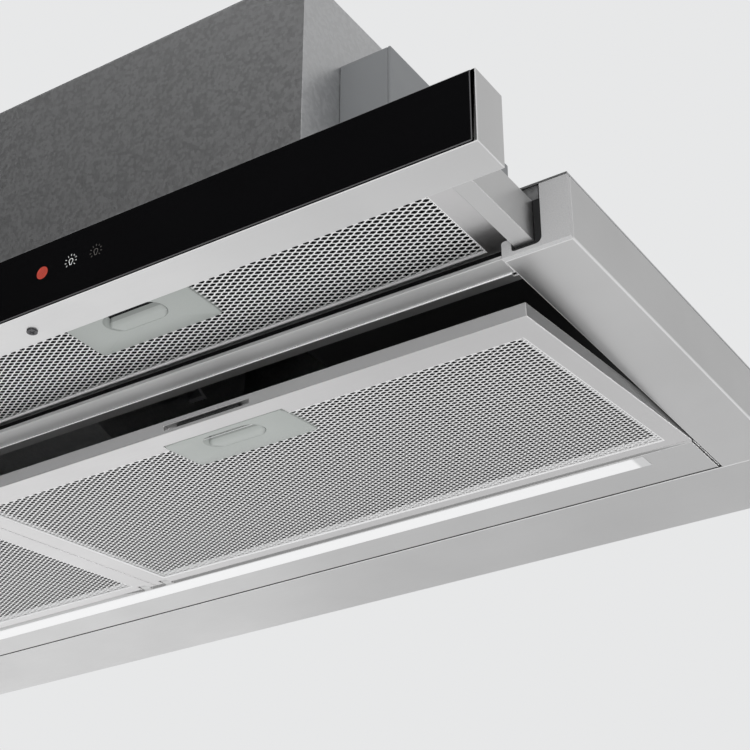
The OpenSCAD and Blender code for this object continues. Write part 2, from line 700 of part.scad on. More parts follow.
module motor_box_lid() color("gainsboro") difference() {
    union() {
        box(-box_w / 2, box_w / 2, box_y0, box_y0 + box_d, lid_z, box_z1);
        box(-box_w / 2 + box_t + 0.2, box_w / 2 - box_t - 0.2, box_y0 + box_t + 0.2,
            box_y0 + box_d - box_t - 0.2, lid_z - 8, lid_z + eps);
    }
    box(-box_w / 2 + 2 * box_t + 0.2, box_w / 2 - 2 * box_t - 0.2, box_y0 + 2 * box_t + 0.2,
        box_y0 + box_d - 2 * box_t - 0.2, lid_z - 9, lid_z);
    post(0, duct_y, lid_z - 1, box_z1 + 1, duct_r - duct_t);
}

// Round outlet with a foot flange, a seat for the flaps and their pin holes
module duct_collar() color("dimgray") difference() {
    union() {
        post(0, duct_y, box_z1, box_z1 + 1.5, duct_r + 8);
        post(0, duct_y, box_z1, box_z1 + duct_h, duct_r);
    }
    post(0, duct_y, box_z1 - 1, flap_z - 4.3, duct_r - duct_t);
    post(0, duct_y, box_z1 - 1, box_z1 + duct_h, duct_r - duct_t - 3.5);
    post(0, duct_y, flap_z - 2.3, box_z1 + duct_h + 1, duct_r - duct_t);
    for (s = [-1, 1]) rod(-duct_r - 1, duct_r + 1, duct_y + s * flap_pin_y, flap_z, 1.55);
}

// Half-round flap behind its barrel; s = -1 is the front one
module flap(s) color("silver") {
    difference() {
        post(0, duct_y, flap_z - 2, flap_z - 2 + flap_t, duct_r - duct_t - 1.2);
        box(-duct_r, duct_r, min(duct_y + s * flap_pin_y, duct_y - s * duct_r),
            max(duct_y + s * flap_pin_y, duct_y - s * duct_r), flap_z - 5, flap_z + 5);
    }
    rod(-duct_r + 7, duct_r - 7, duct_y + s * flap_pin_y, flap_z, 2.2);
    rod(-duct_r + 0.4, duct_r - 0.4, duct_y + s * flap_pin_y, flap_z, 1.5);
}

function scroll_r(a) = scroll_r0 + (a - cut_a) / (360 - cut_a) * (scroll_r1 - scroll_r0);

// Spiral outline of the scroll with its outlet going up, drawn in y and z, smaller by g
module scroll_outline(g, up) polygon(concat(
    [for (i = [0:40]) let (a = cut_a + (360 - cut_a) * i / 40)
        [fan_y + (scroll_r(a) - g) * cos(a), fan_z + (scroll_r(a) - g) * sin(a)]],
    [[fan_y + scroll_r1 - g, up], [fan_y + scroll_r0 * cos(cut_a) + g, up]]));

// Double-inlet scroll with a flange under the lid
module fan_scroll() color("darkgray") difference() {
    union() {
        along_x(-scroll_w / 2, scroll_w / 2) scroll_outline(0, lid_z);
        box(-scroll_w / 2 - 8, scroll_w / 2 + 8, fan_y + scroll_r0 * cos(cut_a) - 8,
            fan_y + scroll_r1 + 8, lid_z - 2, lid_z);
    }
    along_x(-scroll_w / 2 + scroll_t, scroll_w / 2 - scroll_t) scroll_outline(scroll_t, lid_z + 1);
    rod(-scroll_w, scroll_w, fan_y, fan_z, wheel_r - 6);
}

motor_x = scroll_w / 2 + motor_gap;
band_x = motor_x + band_setback;

module motor_bracket() color("silver") difference() {
    union() {
        rod(band_x, band_x + band_w, fan_y, fan_z, motor_r + 2.5);
        for (a = [90, 210, 330]) translate([0, fan_y, fan_z]) rotate([a, 0, 0]) {
            box(band_x, band_x + 2, motor_r, wheel_r + 3, -7, 7);
            box(scroll_w / 2, band_x + 2, wheel_r, wheel_r + 3, -7, 7);
        }
    }
    rod(band_x - 1, band_x + band_w + 1, fan_y, fan_z, motor_r + 0.05);
}

module fan_motor() color("dimgray") difference() {
    union() {
        rod(motor_x, motor_x + motor_len, fan_y, fan_z, motor_r);
        rod(motor_x - motor_gap - 2, motor_x + eps, fan_y, fan_z, 11);
    }
    rod(motor_x - 7, motor_x + motor_len - 8, fan_y, fan_z, shaft_r + 0.05);
}

module motor_shaft() color("lightgray")
    rod(-10, motor_x + motor_len - 10, fan_y, fan_z, shaft_r);

// Drum wheel with a middle disc, two end rings and straight blades
module fan_wheel() color("lightgray") difference() {
    union() {
        rod(-1.5, 1.5, fan_y, fan_z, wheel_r);
        rod(-12, 12, fan_y, fan_z, 12);
        for (s = [-1, 1]) difference() {
            rod(s * (wheel_w / 2 - 1.5) - 1.5, s * (wheel_w / 2 - 1.5) + 1.5, fan_y, fan_z, wheel_r);
            rod(-wheel_w, wheel_w, fan_y, fan_z, wheel_r - 14);
        }
        for (i = [0:blades - 1]) translate([0, fan_y, fan_z]) rotate([i * 360 / blades, 0, 0])
            translate([-wheel_w / 2 + 1, wheel_r - 12, 0]) rotate([25, 0, 0])
                cube([wheel_w - 2, 11, 1.2]);
    }
    rod(-20, 20, fan_y, fan_z, shaft_r + 0.02);
}

// ---- Electrics ----

ctrl_x = box_w / 2;
ctrl_y = box_y0 + ctrl_setback;
ctrl_z = body_h + ctrl_lift;
ctrl_x1 = ctrl_x + ctrl_w;
ctrl_y1 = ctrl_y + ctrl_d;
ctrl_z1 = ctrl_z + ctrl_h;
gland_x = ctrl_x + ctrl_w / 2;
gland_y = ctrl_y + 30;

module control_box() color("gray") difference() {
    box(ctrl_x, ctrl_x1, ctrl_y, ctrl_y1, ctrl_z, ctrl_z1);
    box(ctrl_x + ctrl_t, ctrl_x1 + 1, ctrl_y + ctrl_t, ctrl_y1 - ctrl_t, ctrl_z + ctrl_t, ctrl_z1 - ctrl_t);
    post(gland_x, gland_y, ctrl_z1 - ctrl_t - 1, ctrl_z1 + 1, 8.1);
}

module control_box_cover() color("lightgray") {
    box(ctrl_x1, ctrl_x1 + ctrl_t, ctrl_y, ctrl_y1, ctrl_z, ctrl_z1);
    box(ctrl_x1 - 3, ctrl_x1 + eps, ctrl_y + ctrl_t + 0.2, ctrl_y + 2 * ctrl_t + 0.2,
        ctrl_z + ctrl_t + 4, ctrl_z1 - ctrl_t - 4);
    box(ctrl_x1 - 3, ctrl_x1 + eps, ctrl_y1 - 2 * ctrl_t - 0.2, ctrl_y1 - ctrl_t - 0.2,
        ctrl_z + ctrl_t + 4, ctrl_z1 - ctrl_t - 4);
}

module terminal_block() color("ivory") difference() {
    box(ctrl_x + ctrl_t, ctrl_x + 20, ctrl_y + 12, ctrl_y + 54, ctrl_z + 72, ctrl_z + 90);
    for (i = [0:2]) rod(ctrl_x + 12, ctrl_x + 21, ctrl_y + 19 + i * 14, ctrl_z + 81, 2.5);
}

module led_driver() color("white")
    box(ctrl_x + ctrl_t, ctrl_x + 26, ctrl_y + 66, ctrl_y + 136, ctrl_z + 14, ctrl_z + 54);

// Mains inlet: a gland through the top of the control box
module cable_gland() color("black") difference() {
    union() {
        post(gland_x, gland_y, ctrl_z1, ctrl_z1 + 5, 11);
        post(gland_x, gland_y, ctrl_z1 - 7, ctrl_z1 + eps, 8);
        post(gland_x, gland_y, ctrl_z1 + 4, ctrl_z1 + 14, 9);
    }
    post(gland_x, gland_y, ctrl_z1 - 8, ctrl_z1 + 15, 4.5);
}

at_origin() side_profile();  // side_profile_right
at_origin() left() side_profile();  // side_profile_left
at_origin() end_cap();  // end_cap_right
at_origin() left() end_cap();  // end_cap_left
at_origin() front_crossbar();
at_origin() led_panel();
at_origin() led_lens();
at_origin() led_board();
at_origin() wall_strip();
at_origin() chassis_tray();
at_origin() motor_box();
at_origin() motor_box_lid();
at_origin() duct_collar();
at_origin() fan_scroll();
at_origin() motor_bracket();
at_origin() fan_motor();
at_origin() control_box();
at_origin() control_box_cover();
at_origin() terminal_block();
at_origin() led_driver();
at_origin() cable_gland();
at_origin() slide_rail();  // slide_rail_right
at_origin() left() slide_rail();  // slide_rail_left
at_origin() channel_seal();  // channel_seal_right
at_origin() left() channel_seal();  // channel_seal_left
at_origin() carriage_sensor();
at_origin() housing_screws();
at_origin() fan_wheel();
at_origin() motor_shaft();
at_origin() flap(-1);  // flap_front
at_origin() flap(1);  // flap_rear
at_origin() carriage_side();  // carriage_side_right
at_origin() left() carriage_side();  // carriage_side_left
at_origin() fascia_body();
at_origin() fascia_glass();
at_origin() touch_board();
at_origin() fascia_screws();
at_origin() slide_runner();  // slide_runner_right
at_origin() left() slide_runner();  // slide_runner_left
at_origin() carriage_rear_rail();
at_origin() carriage_magnet();
at_origin() front_frame();  // front_filter_right_frame
at_origin() front_mesh();  // front_filter_right_mesh
at_origin() front_handle();  // front_filter_right_handle
at_origin() front_latch();  // front_filter_right_latch
at_origin() left() front_frame();  // front_filter_left_frame
at_origin() left() front_mesh();  // front_filter_left_mesh
at_origin() left() front_handle();  // front_filter_left_handle
at_origin() left() front_latch();  // front_filter_left_latch
at_origin() ajar() main_frame();  // main_filter_right_frame
at_origin() ajar() main_mesh();  // main_filter_right_mesh
at_origin() ajar() main_handle();  // main_filter_right_handle
at_origin() ajar() main_latch();  // main_filter_right_latch
at_origin() ajar() left() main_frame();  // main_filter_left_frame
at_origin() ajar() left() main_mesh();  // main_filter_left_mesh
at_origin() ajar() left() main_handle();  // main_filter_left_handle
at_origin() ajar() left() main_latch();  // main_filter_left_latch
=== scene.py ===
"""Dresses a pull-out range hood.

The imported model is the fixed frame. Sizes are in millimetres as the hood is drawn: x from its
middle, y from the front of the housing, z up from its underside. The helper `at` turns them into
the frame's metres.
"""

from __future__ import annotations

import json
import logging
import math
from collections.abc import Callable, Iterable, Sequence
from dataclasses import dataclass, field
from enum import Enum

import bmesh
import bpy
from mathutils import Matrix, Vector

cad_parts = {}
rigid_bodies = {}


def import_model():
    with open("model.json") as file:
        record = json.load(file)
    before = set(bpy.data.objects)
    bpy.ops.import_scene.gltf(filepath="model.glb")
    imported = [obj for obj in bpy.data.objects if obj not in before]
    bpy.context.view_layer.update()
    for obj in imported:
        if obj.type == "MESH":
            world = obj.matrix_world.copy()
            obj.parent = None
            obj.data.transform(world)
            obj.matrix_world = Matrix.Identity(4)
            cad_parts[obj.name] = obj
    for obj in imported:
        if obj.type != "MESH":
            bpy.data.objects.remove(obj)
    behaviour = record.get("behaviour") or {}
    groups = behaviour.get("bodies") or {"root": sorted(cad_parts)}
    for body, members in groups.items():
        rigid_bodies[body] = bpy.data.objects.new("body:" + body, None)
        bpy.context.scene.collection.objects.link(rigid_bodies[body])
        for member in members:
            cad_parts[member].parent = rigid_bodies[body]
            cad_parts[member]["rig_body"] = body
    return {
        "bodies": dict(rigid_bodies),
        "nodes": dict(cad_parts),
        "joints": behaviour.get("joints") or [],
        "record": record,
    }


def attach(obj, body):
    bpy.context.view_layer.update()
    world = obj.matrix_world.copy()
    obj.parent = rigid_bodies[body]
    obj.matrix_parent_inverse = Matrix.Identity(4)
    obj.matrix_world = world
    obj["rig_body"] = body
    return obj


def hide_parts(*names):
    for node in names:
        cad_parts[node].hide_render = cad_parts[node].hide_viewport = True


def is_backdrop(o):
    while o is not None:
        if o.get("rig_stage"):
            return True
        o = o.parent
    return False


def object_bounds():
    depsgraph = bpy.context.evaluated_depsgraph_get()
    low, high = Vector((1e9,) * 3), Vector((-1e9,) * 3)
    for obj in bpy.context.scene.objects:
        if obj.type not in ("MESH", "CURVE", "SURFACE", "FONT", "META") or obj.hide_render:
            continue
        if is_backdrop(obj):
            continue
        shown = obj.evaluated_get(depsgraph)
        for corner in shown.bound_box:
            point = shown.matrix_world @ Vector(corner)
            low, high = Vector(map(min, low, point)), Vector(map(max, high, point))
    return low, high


LOG = logging.getLogger("hood")

Colour = tuple[float, float, float]
Point = tuple[float, float, float]
Flat = tuple[float, float]
Spot = Callable[[float, float, float], Vector]

MM = 0.001
# Where the drawing's zero lies: the frame's own zero is at the fixing screws, on the top face
SCREWS_BEHIND_FRONT = 150.0
HOUSING_HEIGHT = 38.5

WHITE: Colour = (1.0, 1.0, 1.0)
# Where most of a noise signal lies, from its dark to its light end
SIGNAL = (0.3, 0.7)
# Colour sockets of a mix node, which share their names with other sockets
MIX_A, MIX_B, MIX_RESULT = 6, 7, 2

# How far a face's normal lies along an axis when it looks straight, mostly or slightly that way
STRAIGHT, MOSTLY, SLIGHTLY = 0.9, 0.5, 0.05
# Leeway in mm when faces or corners are picked by where they lie
FACE_LEEWAY, CORNER_LEEWAY = 0.3, 0.1

# Points nearer than this in metres are one, and folds flatter than this in degrees are flat
WELD = 0.000002
FLAT_DEGREES = 0.6
# Edges sharper than this in degrees are rounded, and flat faces outweigh the rounding's normals
SHARP_DEGREES = 32.0
FLAT_WEIGHT = 100


def at(x: float, y: float, z: float) -> Vector:
    """A drawing point in mm as a frame point in metres."""
    return Vector((x, y - SCREWS_BEHIND_FRONT, z - HOUSING_HEIGHT)) * MM


def drawn(point: Vector) -> Vector:
    """A frame point in metres as a drawing point in mm."""
    return point / MM + Vector((0.0, SCREWS_BEHIND_FRONT, HOUSING_HEIGHT))


def grey(level: float) -> Colour:
    """A neutral colour of one level."""
    return (level, level, level)


class Side(Enum):
    """Which half of the hood a piece belongs to, with the sign of its x."""

    RIGHT = 1
    LEFT = -1

    @property
    def word(self) -> str:
        """The side's name as the nodes spell it."""
        return self.name.lower()


class Grain(Enum):
    """Direction of the brush lines on a sheet, as the stretch of the noise along x, y and z."""

    ALONG_X = (0.02, 1.0, 1.0)
    ALONG_Y = (1.0, 0.02, 1.0)


# ---------------------------------------------------------------- finishes


class NodeHand:
    """A small hand for wiring a node tree."""

    def __init__(self, tree: bpy.types.NodeTree) -> None:
        """Takes a tree and empties it."""
        self.tree = tree
        self.tree.nodes.clear()

    def fill(self, node: bpy.types.Node, **inputs: object) -> None:
        """Sets input sockets of a node, by name with _ for a space."""
        for key, value in inputs.items():
            node.inputs[key.replace("_", " ")].default_value = value

    def add(self, kind: str, **inputs: object) -> bpy.types.Node:
        """Adds a node.

        Args:
            kind: the node's type name.
            inputs: values for its input sockets, by name with _ for a space.

        Returns:
            The new node.
        """
        node = self.tree.nodes.new(kind)
        self.fill(node, **inputs)
        return node

    def link(
        self, source: bpy.types.Node, out: str | int, target: bpy.types.Node, into: str | int
    ) -> None:
        """Joins an output socket to an input socket."""
        self.tree.links.new(source.outputs[out], target.inputs[into])


class MaterialHand(NodeHand):
    """A hand for wiring one material round its shader."""

    def __init__(self, name: str) -> None:
        """Starts an empty node material.

        Args:
            name: the material's name.
        """
        self.material = bpy.data.materials.new(name)
        self.material.use_nodes = True
        super().__init__(self.material.node_tree)
        self.shader = self.add("ShaderNodeBsdfPrincipled")
        self.link(self.shader, "BSDF", self.add("ShaderNodeOutputMaterial"), "Surface")
        self.place = self.add("ShaderNodeTexCoord")

    def axes(self, space: str) -> bpy.types.Node:
        """Splits a texture coordinate into x, y and z.

        Args:
            space: the coordinate's name.

        Returns:
            The splitting node.
        """
        node = self.add("ShaderNodeSeparateXYZ")
        self.link(self.place, space, node, "Vector")
        return node

    def texture(
        self, kind: str, stretch: Sequence[float] = (1, 1, 1), **inputs: float
    ) -> bpy.types.Node:
        """A texture in object space.

        Args:
            kind: the texture node's type name.
            stretch: factor on each axis.
            inputs: values for its input sockets.

        Returns:
            The texture node.
        """
        mapping = self.add("ShaderNodeMapping", Scale=stretch)
        self.link(self.place, "Object", mapping, "Vector")
        node = self.add(kind, **inputs)
        self.link(mapping, "Vector", node, "Vector")
        return node

    def noise(
        self, scale: float, detail: float = 2.0, stretch: Sequence[float] = (1, 1, 1)
    ) -> bpy.types.Node:
        """A noise texture with so many cells per metre, octaves and factors on the axes."""
        return self.texture("ShaderNodeTexNoise", stretch, Scale=scale, Detail=detail)

    def ramp(
        self,
        source: bpy.types.Node,
        out: str,
        tones: tuple[Colour, Colour],
        ends: Flat = (0.0, 1.0),
    ) -> bpy.types.Node:
        """A colour between two tones by a signal.

        Args:
            source: the node that gives the signal.
            out: its output socket.
            tones: the dark and the light tone.
            ends: the signal at either tone.

        Returns:
            The ramp node.
        """
        ramp = self.add("ShaderNodeValToRGB")
        for element, position, tone in zip(ramp.color_ramp.elements, ends, tones):
            element.position = position
            element.color = (*tone, 1)
        self.link(source, out, ramp, "Fac")
        return ramp

    def tint(self, source: bpy.types.Node, out: str, tones: tuple[Colour, Colour]) -> None:
        """Colours the shader between a dark and a light tone by a signal."""
        self.link(self.ramp(source, out, tones, SIGNAL), "Color", self.shader, "Base Color")

    def roughen(self, source: bpy.types.Node, out: str, low: float, high: float) -> None:
        """Varies the shader's roughness by a signal.

        Args:
            source: the node that gives the signal.
            out: its output socket.
            low: the roughness at the signal's dark end.
            high: the roughness at its light end.
        """
        span = self.add(
            "ShaderNodeMapRange", From_Min=SIGNAL[0], From_Max=SIGNAL[1], To_Min=low, To_Max=high
        )
        self.link(source, out, span, "Value")
        self.link(span, "Result", self.shader, "Roughness")

    def bump(self, source: bpy.types.Node, out: str, strength: float, depth: float) -> None:
        """Gives the shader a bump.

        Args:
            source: the node that gives the height.
            out: its output socket.
            strength: 0 to 1.
            depth: height of the bump in metres.
        """
        node = self.add("ShaderNodeBump", Strength=strength, Distance=depth)
        self.link(source, out, node, "Height")
        self.link(node, "Normal", self.shader, "Normal")


@dataclass(frozen=True)
class Finish:
    """What every finish has: a name, a colour and how rough it is."""

    name: str
    colour: Colour
    roughness: float = 0.4

    def tones(self, dark: float, light: float) -> tuple[Colour, Colour]:
        """The colour times a dark factor and times a light one."""
        return tuple(tuple(min(1.0, c * factor) for c in self.colour) for factor in (dark, light))

    def wire(self, nodes: MaterialHand) -> None:
        """Wires the finish; each kind does this its own way."""
        nodes.fill(nodes.shader, Base_Color=(*self.colour, 1))

    def material(self) -> bpy.types.Material:
        """Makes the finish as a material, once.

        Returns:
            The material.
        """
        known = bpy.data.materials.get(self.name)
        if known:
            return known
        nodes = MaterialHand(self.name)
        nodes.fill(nodes.shader, Roughness=self.roughness)
        self.wire(nodes)
        return nodes.material


@dataclass(frozen=True)
class SatinMetal(Finish):
    """Rolled or finely brushed sheet: faint grain, slow cloudiness, soft gloss."""

    metallic: float = 1.0
    grain: Grain = Grain.ALONG_X
    spread: float = 0.05
    depth: float = 0.000004
    streak: float = 0.05
    cloud_scale: float = 9.0
    cloud_detail: float = 3.0
    line_scale: float = 2600.0
    relief: float = 0.25

    def wire(self, nodes: MaterialHand) -> None:
        """Grain in roughness and bump, clouds in colour.

        Args:
            nodes: the material's wiring hand.
        """
        nodes.fill(nodes.shader, Metallic=self.metallic)
        clouds = nodes.noise(self.cloud_scale, self.cloud_detail)
        nodes.tint(clouds, "Fac", self.tones(1 - self.spread, 1 + self.spread))
        lines = nodes.noise(self.line_scale, stretch=self.grain.value)
        nodes.roughen(lines, "Fac", self.roughness - self.streak, self.roughness + self.streak)
        nodes.bump(lines, "Fac", self.relief, self.depth)


@dataclass(frozen=True)
class GalvanisedSheet(Finish):
    """Zinc-coated sheet with its flake pattern of a few millimetres."""

    metallic: float = 0.9
    flake_scale: float = 420.0
    dark_flake: float = 0.95
    light_flake: float = 1.04
    duller: float = 0.04
    glossier: float = 0.03
    wave_scale: float = 60.0
    wave_detail: float = 3.0
    relief: float = 0.1
    depth: float = 0.00005

    def wire(self, nodes: MaterialHand) -> None:
        """Flakes in tone and gloss, a slow wave in the sheet.

        Args:
            nodes: the material's wiring hand.
        """
        nodes.fill(nodes.shader, Metallic=self.metallic)
        flakes = nodes.texture("ShaderNodeTexVoronoi", Scale=self.flake_scale)
        nodes.tint(flakes, "Color", self.tones(self.dark_flake, self.light_flake))
        rough = (self.roughness - self.glossier, self.roughness + self.duller)
        nodes.roughen(flakes, "Color", *rough)
        nodes.bump(nodes.noise(self.wave_scale, self.wave_detail), "Fac", self.relief, self.depth)


@dataclass(frozen=True)
class ShadedTray(GalvanisedSheet):
    """Top plate: zinc-coated above, with painted shade in black on the face that looks down into
    the hood.
    """

    # Painted shade: the black that stands for the dark inside of the hood
    paint: Colour = (0.012, 0.012, 0.013)

    def wire(self, nodes: MaterialHand) -> None:
        """Painted shade where the face looks down, zinc elsewhere.

        Args:
            nodes: the material's wiring hand.
        """
        flakes = nodes.texture("ShaderNodeTexVoronoi", Scale=self.flake_scale)
        zinc = nodes.ramp(flakes, "Color", self.tones(self.dark_flake, self.light_flake))
        unshaded = nodes.add("ShaderNodeMath")
        unshaded.operation = "GREATER_THAN"
        unshaded.inputs[1].default_value = -MOSTLY
        nodes.link(nodes.axes("Normal"), "Z", unshaded, 0)
        pick = nodes.add("ShaderNodeMix")
        pick.data_type = "RGBA"
        pick.inputs[MIX_A].default_value = (*self.paint, 1)
        nodes.link(unshaded, "Value", pick, "Factor")
        nodes.link(zinc, "Color", pick, MIX_B)
        nodes.link(pick, MIX_RESULT, nodes.shader, "Base Color")
        nodes.link(unshaded, "Value", nodes.shader, "Metallic")


@dataclass(frozen=True)
class MouldedPlastic(Finish):
    """Fine-grained moulded plastic, with flecks if it has them."""

    fleck: float = 0.03
    grain_scale: float = 1800.0
    depth: float = 0.00003
    relief: float = 0.2
    patch_scale: float = 40.0
    patch: float = 0.05

    def wire(self, nodes: MaterialHand) -> None:
        """Fine grain in bump and tone, slow patches in gloss.

        Args:
            nodes: the material's wiring hand.
        """
        grain = nodes.noise(self.grain_scale)
        nodes.tint(grain, "Fac", self.tones(1 - self.fleck, 1 + self.fleck))
        patches = nodes.noise(self.patch_scale)
        nodes.roughen(patches, "Fac", self.roughness - self.patch, self.roughness + self.patch)
        nodes.bump(grain, "Fac", self.relief, self.depth)


@dataclass(frozen=True)
class PaleFloor(MouldedPlastic):
    """Matt floor with a faint glow of its own."""

    glow: float = 0.21

    def wire(self, nodes: MaterialHand) -> None:
        """Wires the grain and adds the glow."""
        super().wire(nodes)
        nodes.fill(nodes.shader, Emission_Color=(*WHITE, 1), Emission_Strength=self.glow)


@dataclass(frozen=True)
class DeepGlass(Finish):
    """Black printed glass: dark body under a clear, nearly still surface."""

    gloss: float = 0.3
    ripple_scale: float = 6.0
    ripple_tone: float = 0.2
    ripple_gloss: float = 0.04

    def wire(self, nodes: MaterialHand) -> None:
        """A slow ripple in gloss and a trace of tone in the print.

        Args:
            nodes: the material's wiring hand.
        """
        nodes.fill(nodes.shader, Specular_IOR_Level=self.gloss)
        slow = nodes.noise(self.ripple_scale)
        nodes.tint(slow, "Fac", self.tones(1 - self.ripple_tone, 1 + self.ripple_tone))
        nodes.roughen(slow, "Fac", self.roughness, self.roughness + self.ripple_gloss)


@dataclass(frozen=True)
class LitLens(Finish):
    """Frosted lens that glows along its lit length, in metres, and fades at its ends."""

    strength: float = 1.0
    lit_to: float = 0.3675
    dim_from: float = 0.3695
    dim_share: float = 0.4
    frost_scale: float = 900.0
    frost_tone: float = 0.97

    def wire(self, nodes: MaterialHand) -> None:
        """Glow by the distance from the middle of the strip.

        Args:
            nodes: the material's wiring hand.
        """
        nodes.tint(nodes.noise(self.frost_scale), "Fac", self.tones(self.frost_tone, 1.0))
        away = nodes.add("ShaderNodeMath")
        away.operation = "ABSOLUTE"
        nodes.link(nodes.axes("Object"), "X", away, 0)
        fade = nodes.add(
            "ShaderNodeMapRange",
            From_Min=self.lit_to,
            From_Max=self.dim_from,
            To_Min=self.strength,
            To_Max=self.dim_share * self.strength,
        )
        nodes.link(away, "Value", fade, "Value")
        nodes.link(fade, "Result", nodes.shader, "Emission Strength")
        nodes.fill(nodes.shader, Emission_Color=(*WHITE, 1))


@dataclass(frozen=True)
class SoftGlow(Finish):
    """A print, or a sheet with a painted glow, with a little light of its own colour on it."""

    strength: float = 0.6
    mottle_scale: float = 3000.0
    mottle_tone: float = 0.85

    def wire(self, nodes: MaterialHand) -> None:
        """A slightly uneven tone over an even glow.

        Args:
            nodes: the material's wiring hand.
        """
        nodes.tint(nodes.noise(self.mottle_scale), "Fac", self.tones(self.mottle_tone, 1.0))
        glow = (*self.colour, 1)
        nodes.fill(nodes.shader, Emission_Color=glow, Emission_Strength=self.strength)


@dataclass(frozen=True)
class BoardLaminate(Finish):
    """Circuit board with traces under its lacquer."""

    trace_scale: float = 120.0
    dark_trace: float = 0.8
    light_gap: float = 1.5

    def wire(self, nodes: MaterialHand) -> None:
        """Square traces as a tone pattern.

        Args:
            nodes: the material's wiring hand.
        """
        dark, light = self.tones(self.dark_trace, self.light_gap)
        traces = nodes.texture("ShaderNodeTexBrick", Scale=self.trace_scale)
        nodes.fill(traces, Color1=(*self.colour, 1), Color2=(*dark, 1), Mortar=(*light, 1))
        nodes.link(traces, "Color", nodes.shader, "Base Color")


HOUSING_STEEL = SatinMetal("housing_steel_satin", (0.66, 0.66, 0.658), 0.36)
SIDE_STEEL = SatinMetal(
    "side_steel_satin",
    (0.66, 0.66, 0.658),
    0.30,
    metallic=0.85,
    grain=Grain.ALONG_Y,
    depth=0.0000004,
    streak=0.015,
)
BEAD_HIGHLIGHT_STEEL = SatinMetal("bead_steel_bright", (0.93, 0.93, 0.928), 0.28)
FASCIA_STEEL = SatinMetal("fascia_steel_satin", (0.74, 0.74, 0.738), 0.33)
MEMBER_STEEL = SatinMetal("member_steel_satin", (0.68, 0.68, 0.678), 0.34, grain=Grain.ALONG_Y)
RAIL_SHADE_STEEL = SatinMetal("blackened_steel", (0.05, 0.05, 0.052), 0.45, metallic=0.6)
SHAFT_STEEL = SatinMetal("shaft_steel_ground", (0.62, 0.62, 0.63), 0.22)
SCREW_STEEL = SatinMetal("screw_steel_dark", (0.10, 0.10, 0.105), 0.35, metallic=0.8)
FLAP_METAL = SatinMetal("flap_aluminium_satin", (0.68, 0.68, 0.69), 0.36)
MOTOR_METAL = SatinMetal("motor_casting", (0.42, 0.43, 0.44), 0.5, metallic=0.9, depth=0.00002)
ZINC = GalvanisedSheet("zinc_sheet", (0.62, 0.625, 0.63), 0.42)
TRAY = ShadedTray("tray_zinc_and_paint", (0.62, 0.625, 0.63), 0.42)

FILTER_ALUMINIUM = SatinMetal("filter_aluminium", (0.74, 0.735, 0.735), 0.38, spread=0.04)
FRONT_MESH = SatinMetal("mesh_aluminium_front", grey(0.93), 0.45, metallic=0.0, spread=0.02)
MAIN_MESH = SatinMetal("mesh_aluminium_main", grey(0.92), 0.45, metallic=0.25, spread=0.02)
# Pale aluminium, lightened further as a painted highlight on the filters' borders and lips
BORDER_HIGHLIGHT = SatinMetal("filter_border_bright", grey(0.94), 0.45, metallic=0.1, spread=0.02)
# Painted shade: inner layer and core of the pack dark for the dim inside of the filters
FRONT_INNER_SHADE = SatinMetal("mesh_inner_dark", grey(0.03), 0.6, spread=0.15)
MAIN_INNER_SHADE = SatinMetal("mesh_inner_grey", grey(0.07), 0.55, metallic=0.7, spread=0.12)
CORE_SHADE = SatinMetal("filter_core_dark", (0.02, 0.02, 0.021), 0.7, spread=0.2)

# Painted light: painted shade on faces and seams, painted highlights on folds and edges, a painted
# glow on the lamp panel's flange
FRAME_FRONT_SHADE = SatinMetal(
    "filter_front_face", (0.46, 0.46, 0.462), 0.35, metallic=0.3, spread=0.02, depth=0.000001
)
FRAME_SIDE_SHADE = SatinMetal("filter_side_face", grey(0.21), 0.5, metallic=0.2, spread=0.03)
LIP_SHADE = SatinMetal("housing_lip_face", grey(0.30), 0.5, metallic=0.2, spread=0.03)
# Painted highlight: light, unmetallic grey on the rounded edges of the fascia and wall strip
EDGE_HIGHLIGHT = SatinMetal("folded_edge", grey(0.80), 0.6, metallic=0.0, spread=0.02)
SIDE_EDGE_HIGHLIGHT = SatinMetal("folded_side_edge", grey(0.76), 0.7, metallic=0.0, spread=0.02)
SEAM_SHADE = SatinMetal("seam_shade", grey(0.08), 0.6, metallic=0.0, spread=0.02)
# Painted highlight: grey on the glass's rounded edges
GLASS_EDGE_HIGHLIGHT = SatinMetal("glass_ground_edge", (0.16, 0.16, 0.165), 0.45, metallic=0.3)
FLANGE_GLOW = SoftGlow("lamp_panel_flange", grey(0.50), 0.5, strength=0.42)

# Black of the channel seals, and painted shade in black on the faces inside the runner channels
SEAL_BLACK_AND_CHANNEL_SHADE = MouldedPlastic("channel_lining_black", (0.010, 0.010, 0.011), 0.7, fleck=0.1)
CAP_PLASTIC = MouldedPlastic(
    "cap_plastic_flecked", (0.60, 0.60, 0.602), 0.42, fleck=0.07, grain_scale=1500.0
)
HANDLE_PLASTIC = MouldedPlastic("handle_plastic_grey", (0.455, 0.482, 0.462), 0.40, fleck=0.02)
LATCH_PLASTIC = MouldedPlastic("latch_plastic_grey", (0.475, 0.502, 0.482), 0.38, fleck=0.02)
LATCH_HALF_SHADE = MouldedPlastic(
    "latch_plastic_half_shade", (0.34, 0.36, 0.345), 0.40, fleck=0.02
)
LATCH_SHADE = MouldedPlastic("latch_plastic_shade", (0.17, 0.18, 0.175), 0.45, fleck=0.02)
BLACK_PLASTIC = MouldedPlastic("moulded_black", (0.018, 0.018, 0.019), 0.45, fleck=0.1)
GREY_PLASTIC = MouldedPlastic("moulded_grey", (0.30, 0.31, 0.32), 0.48)

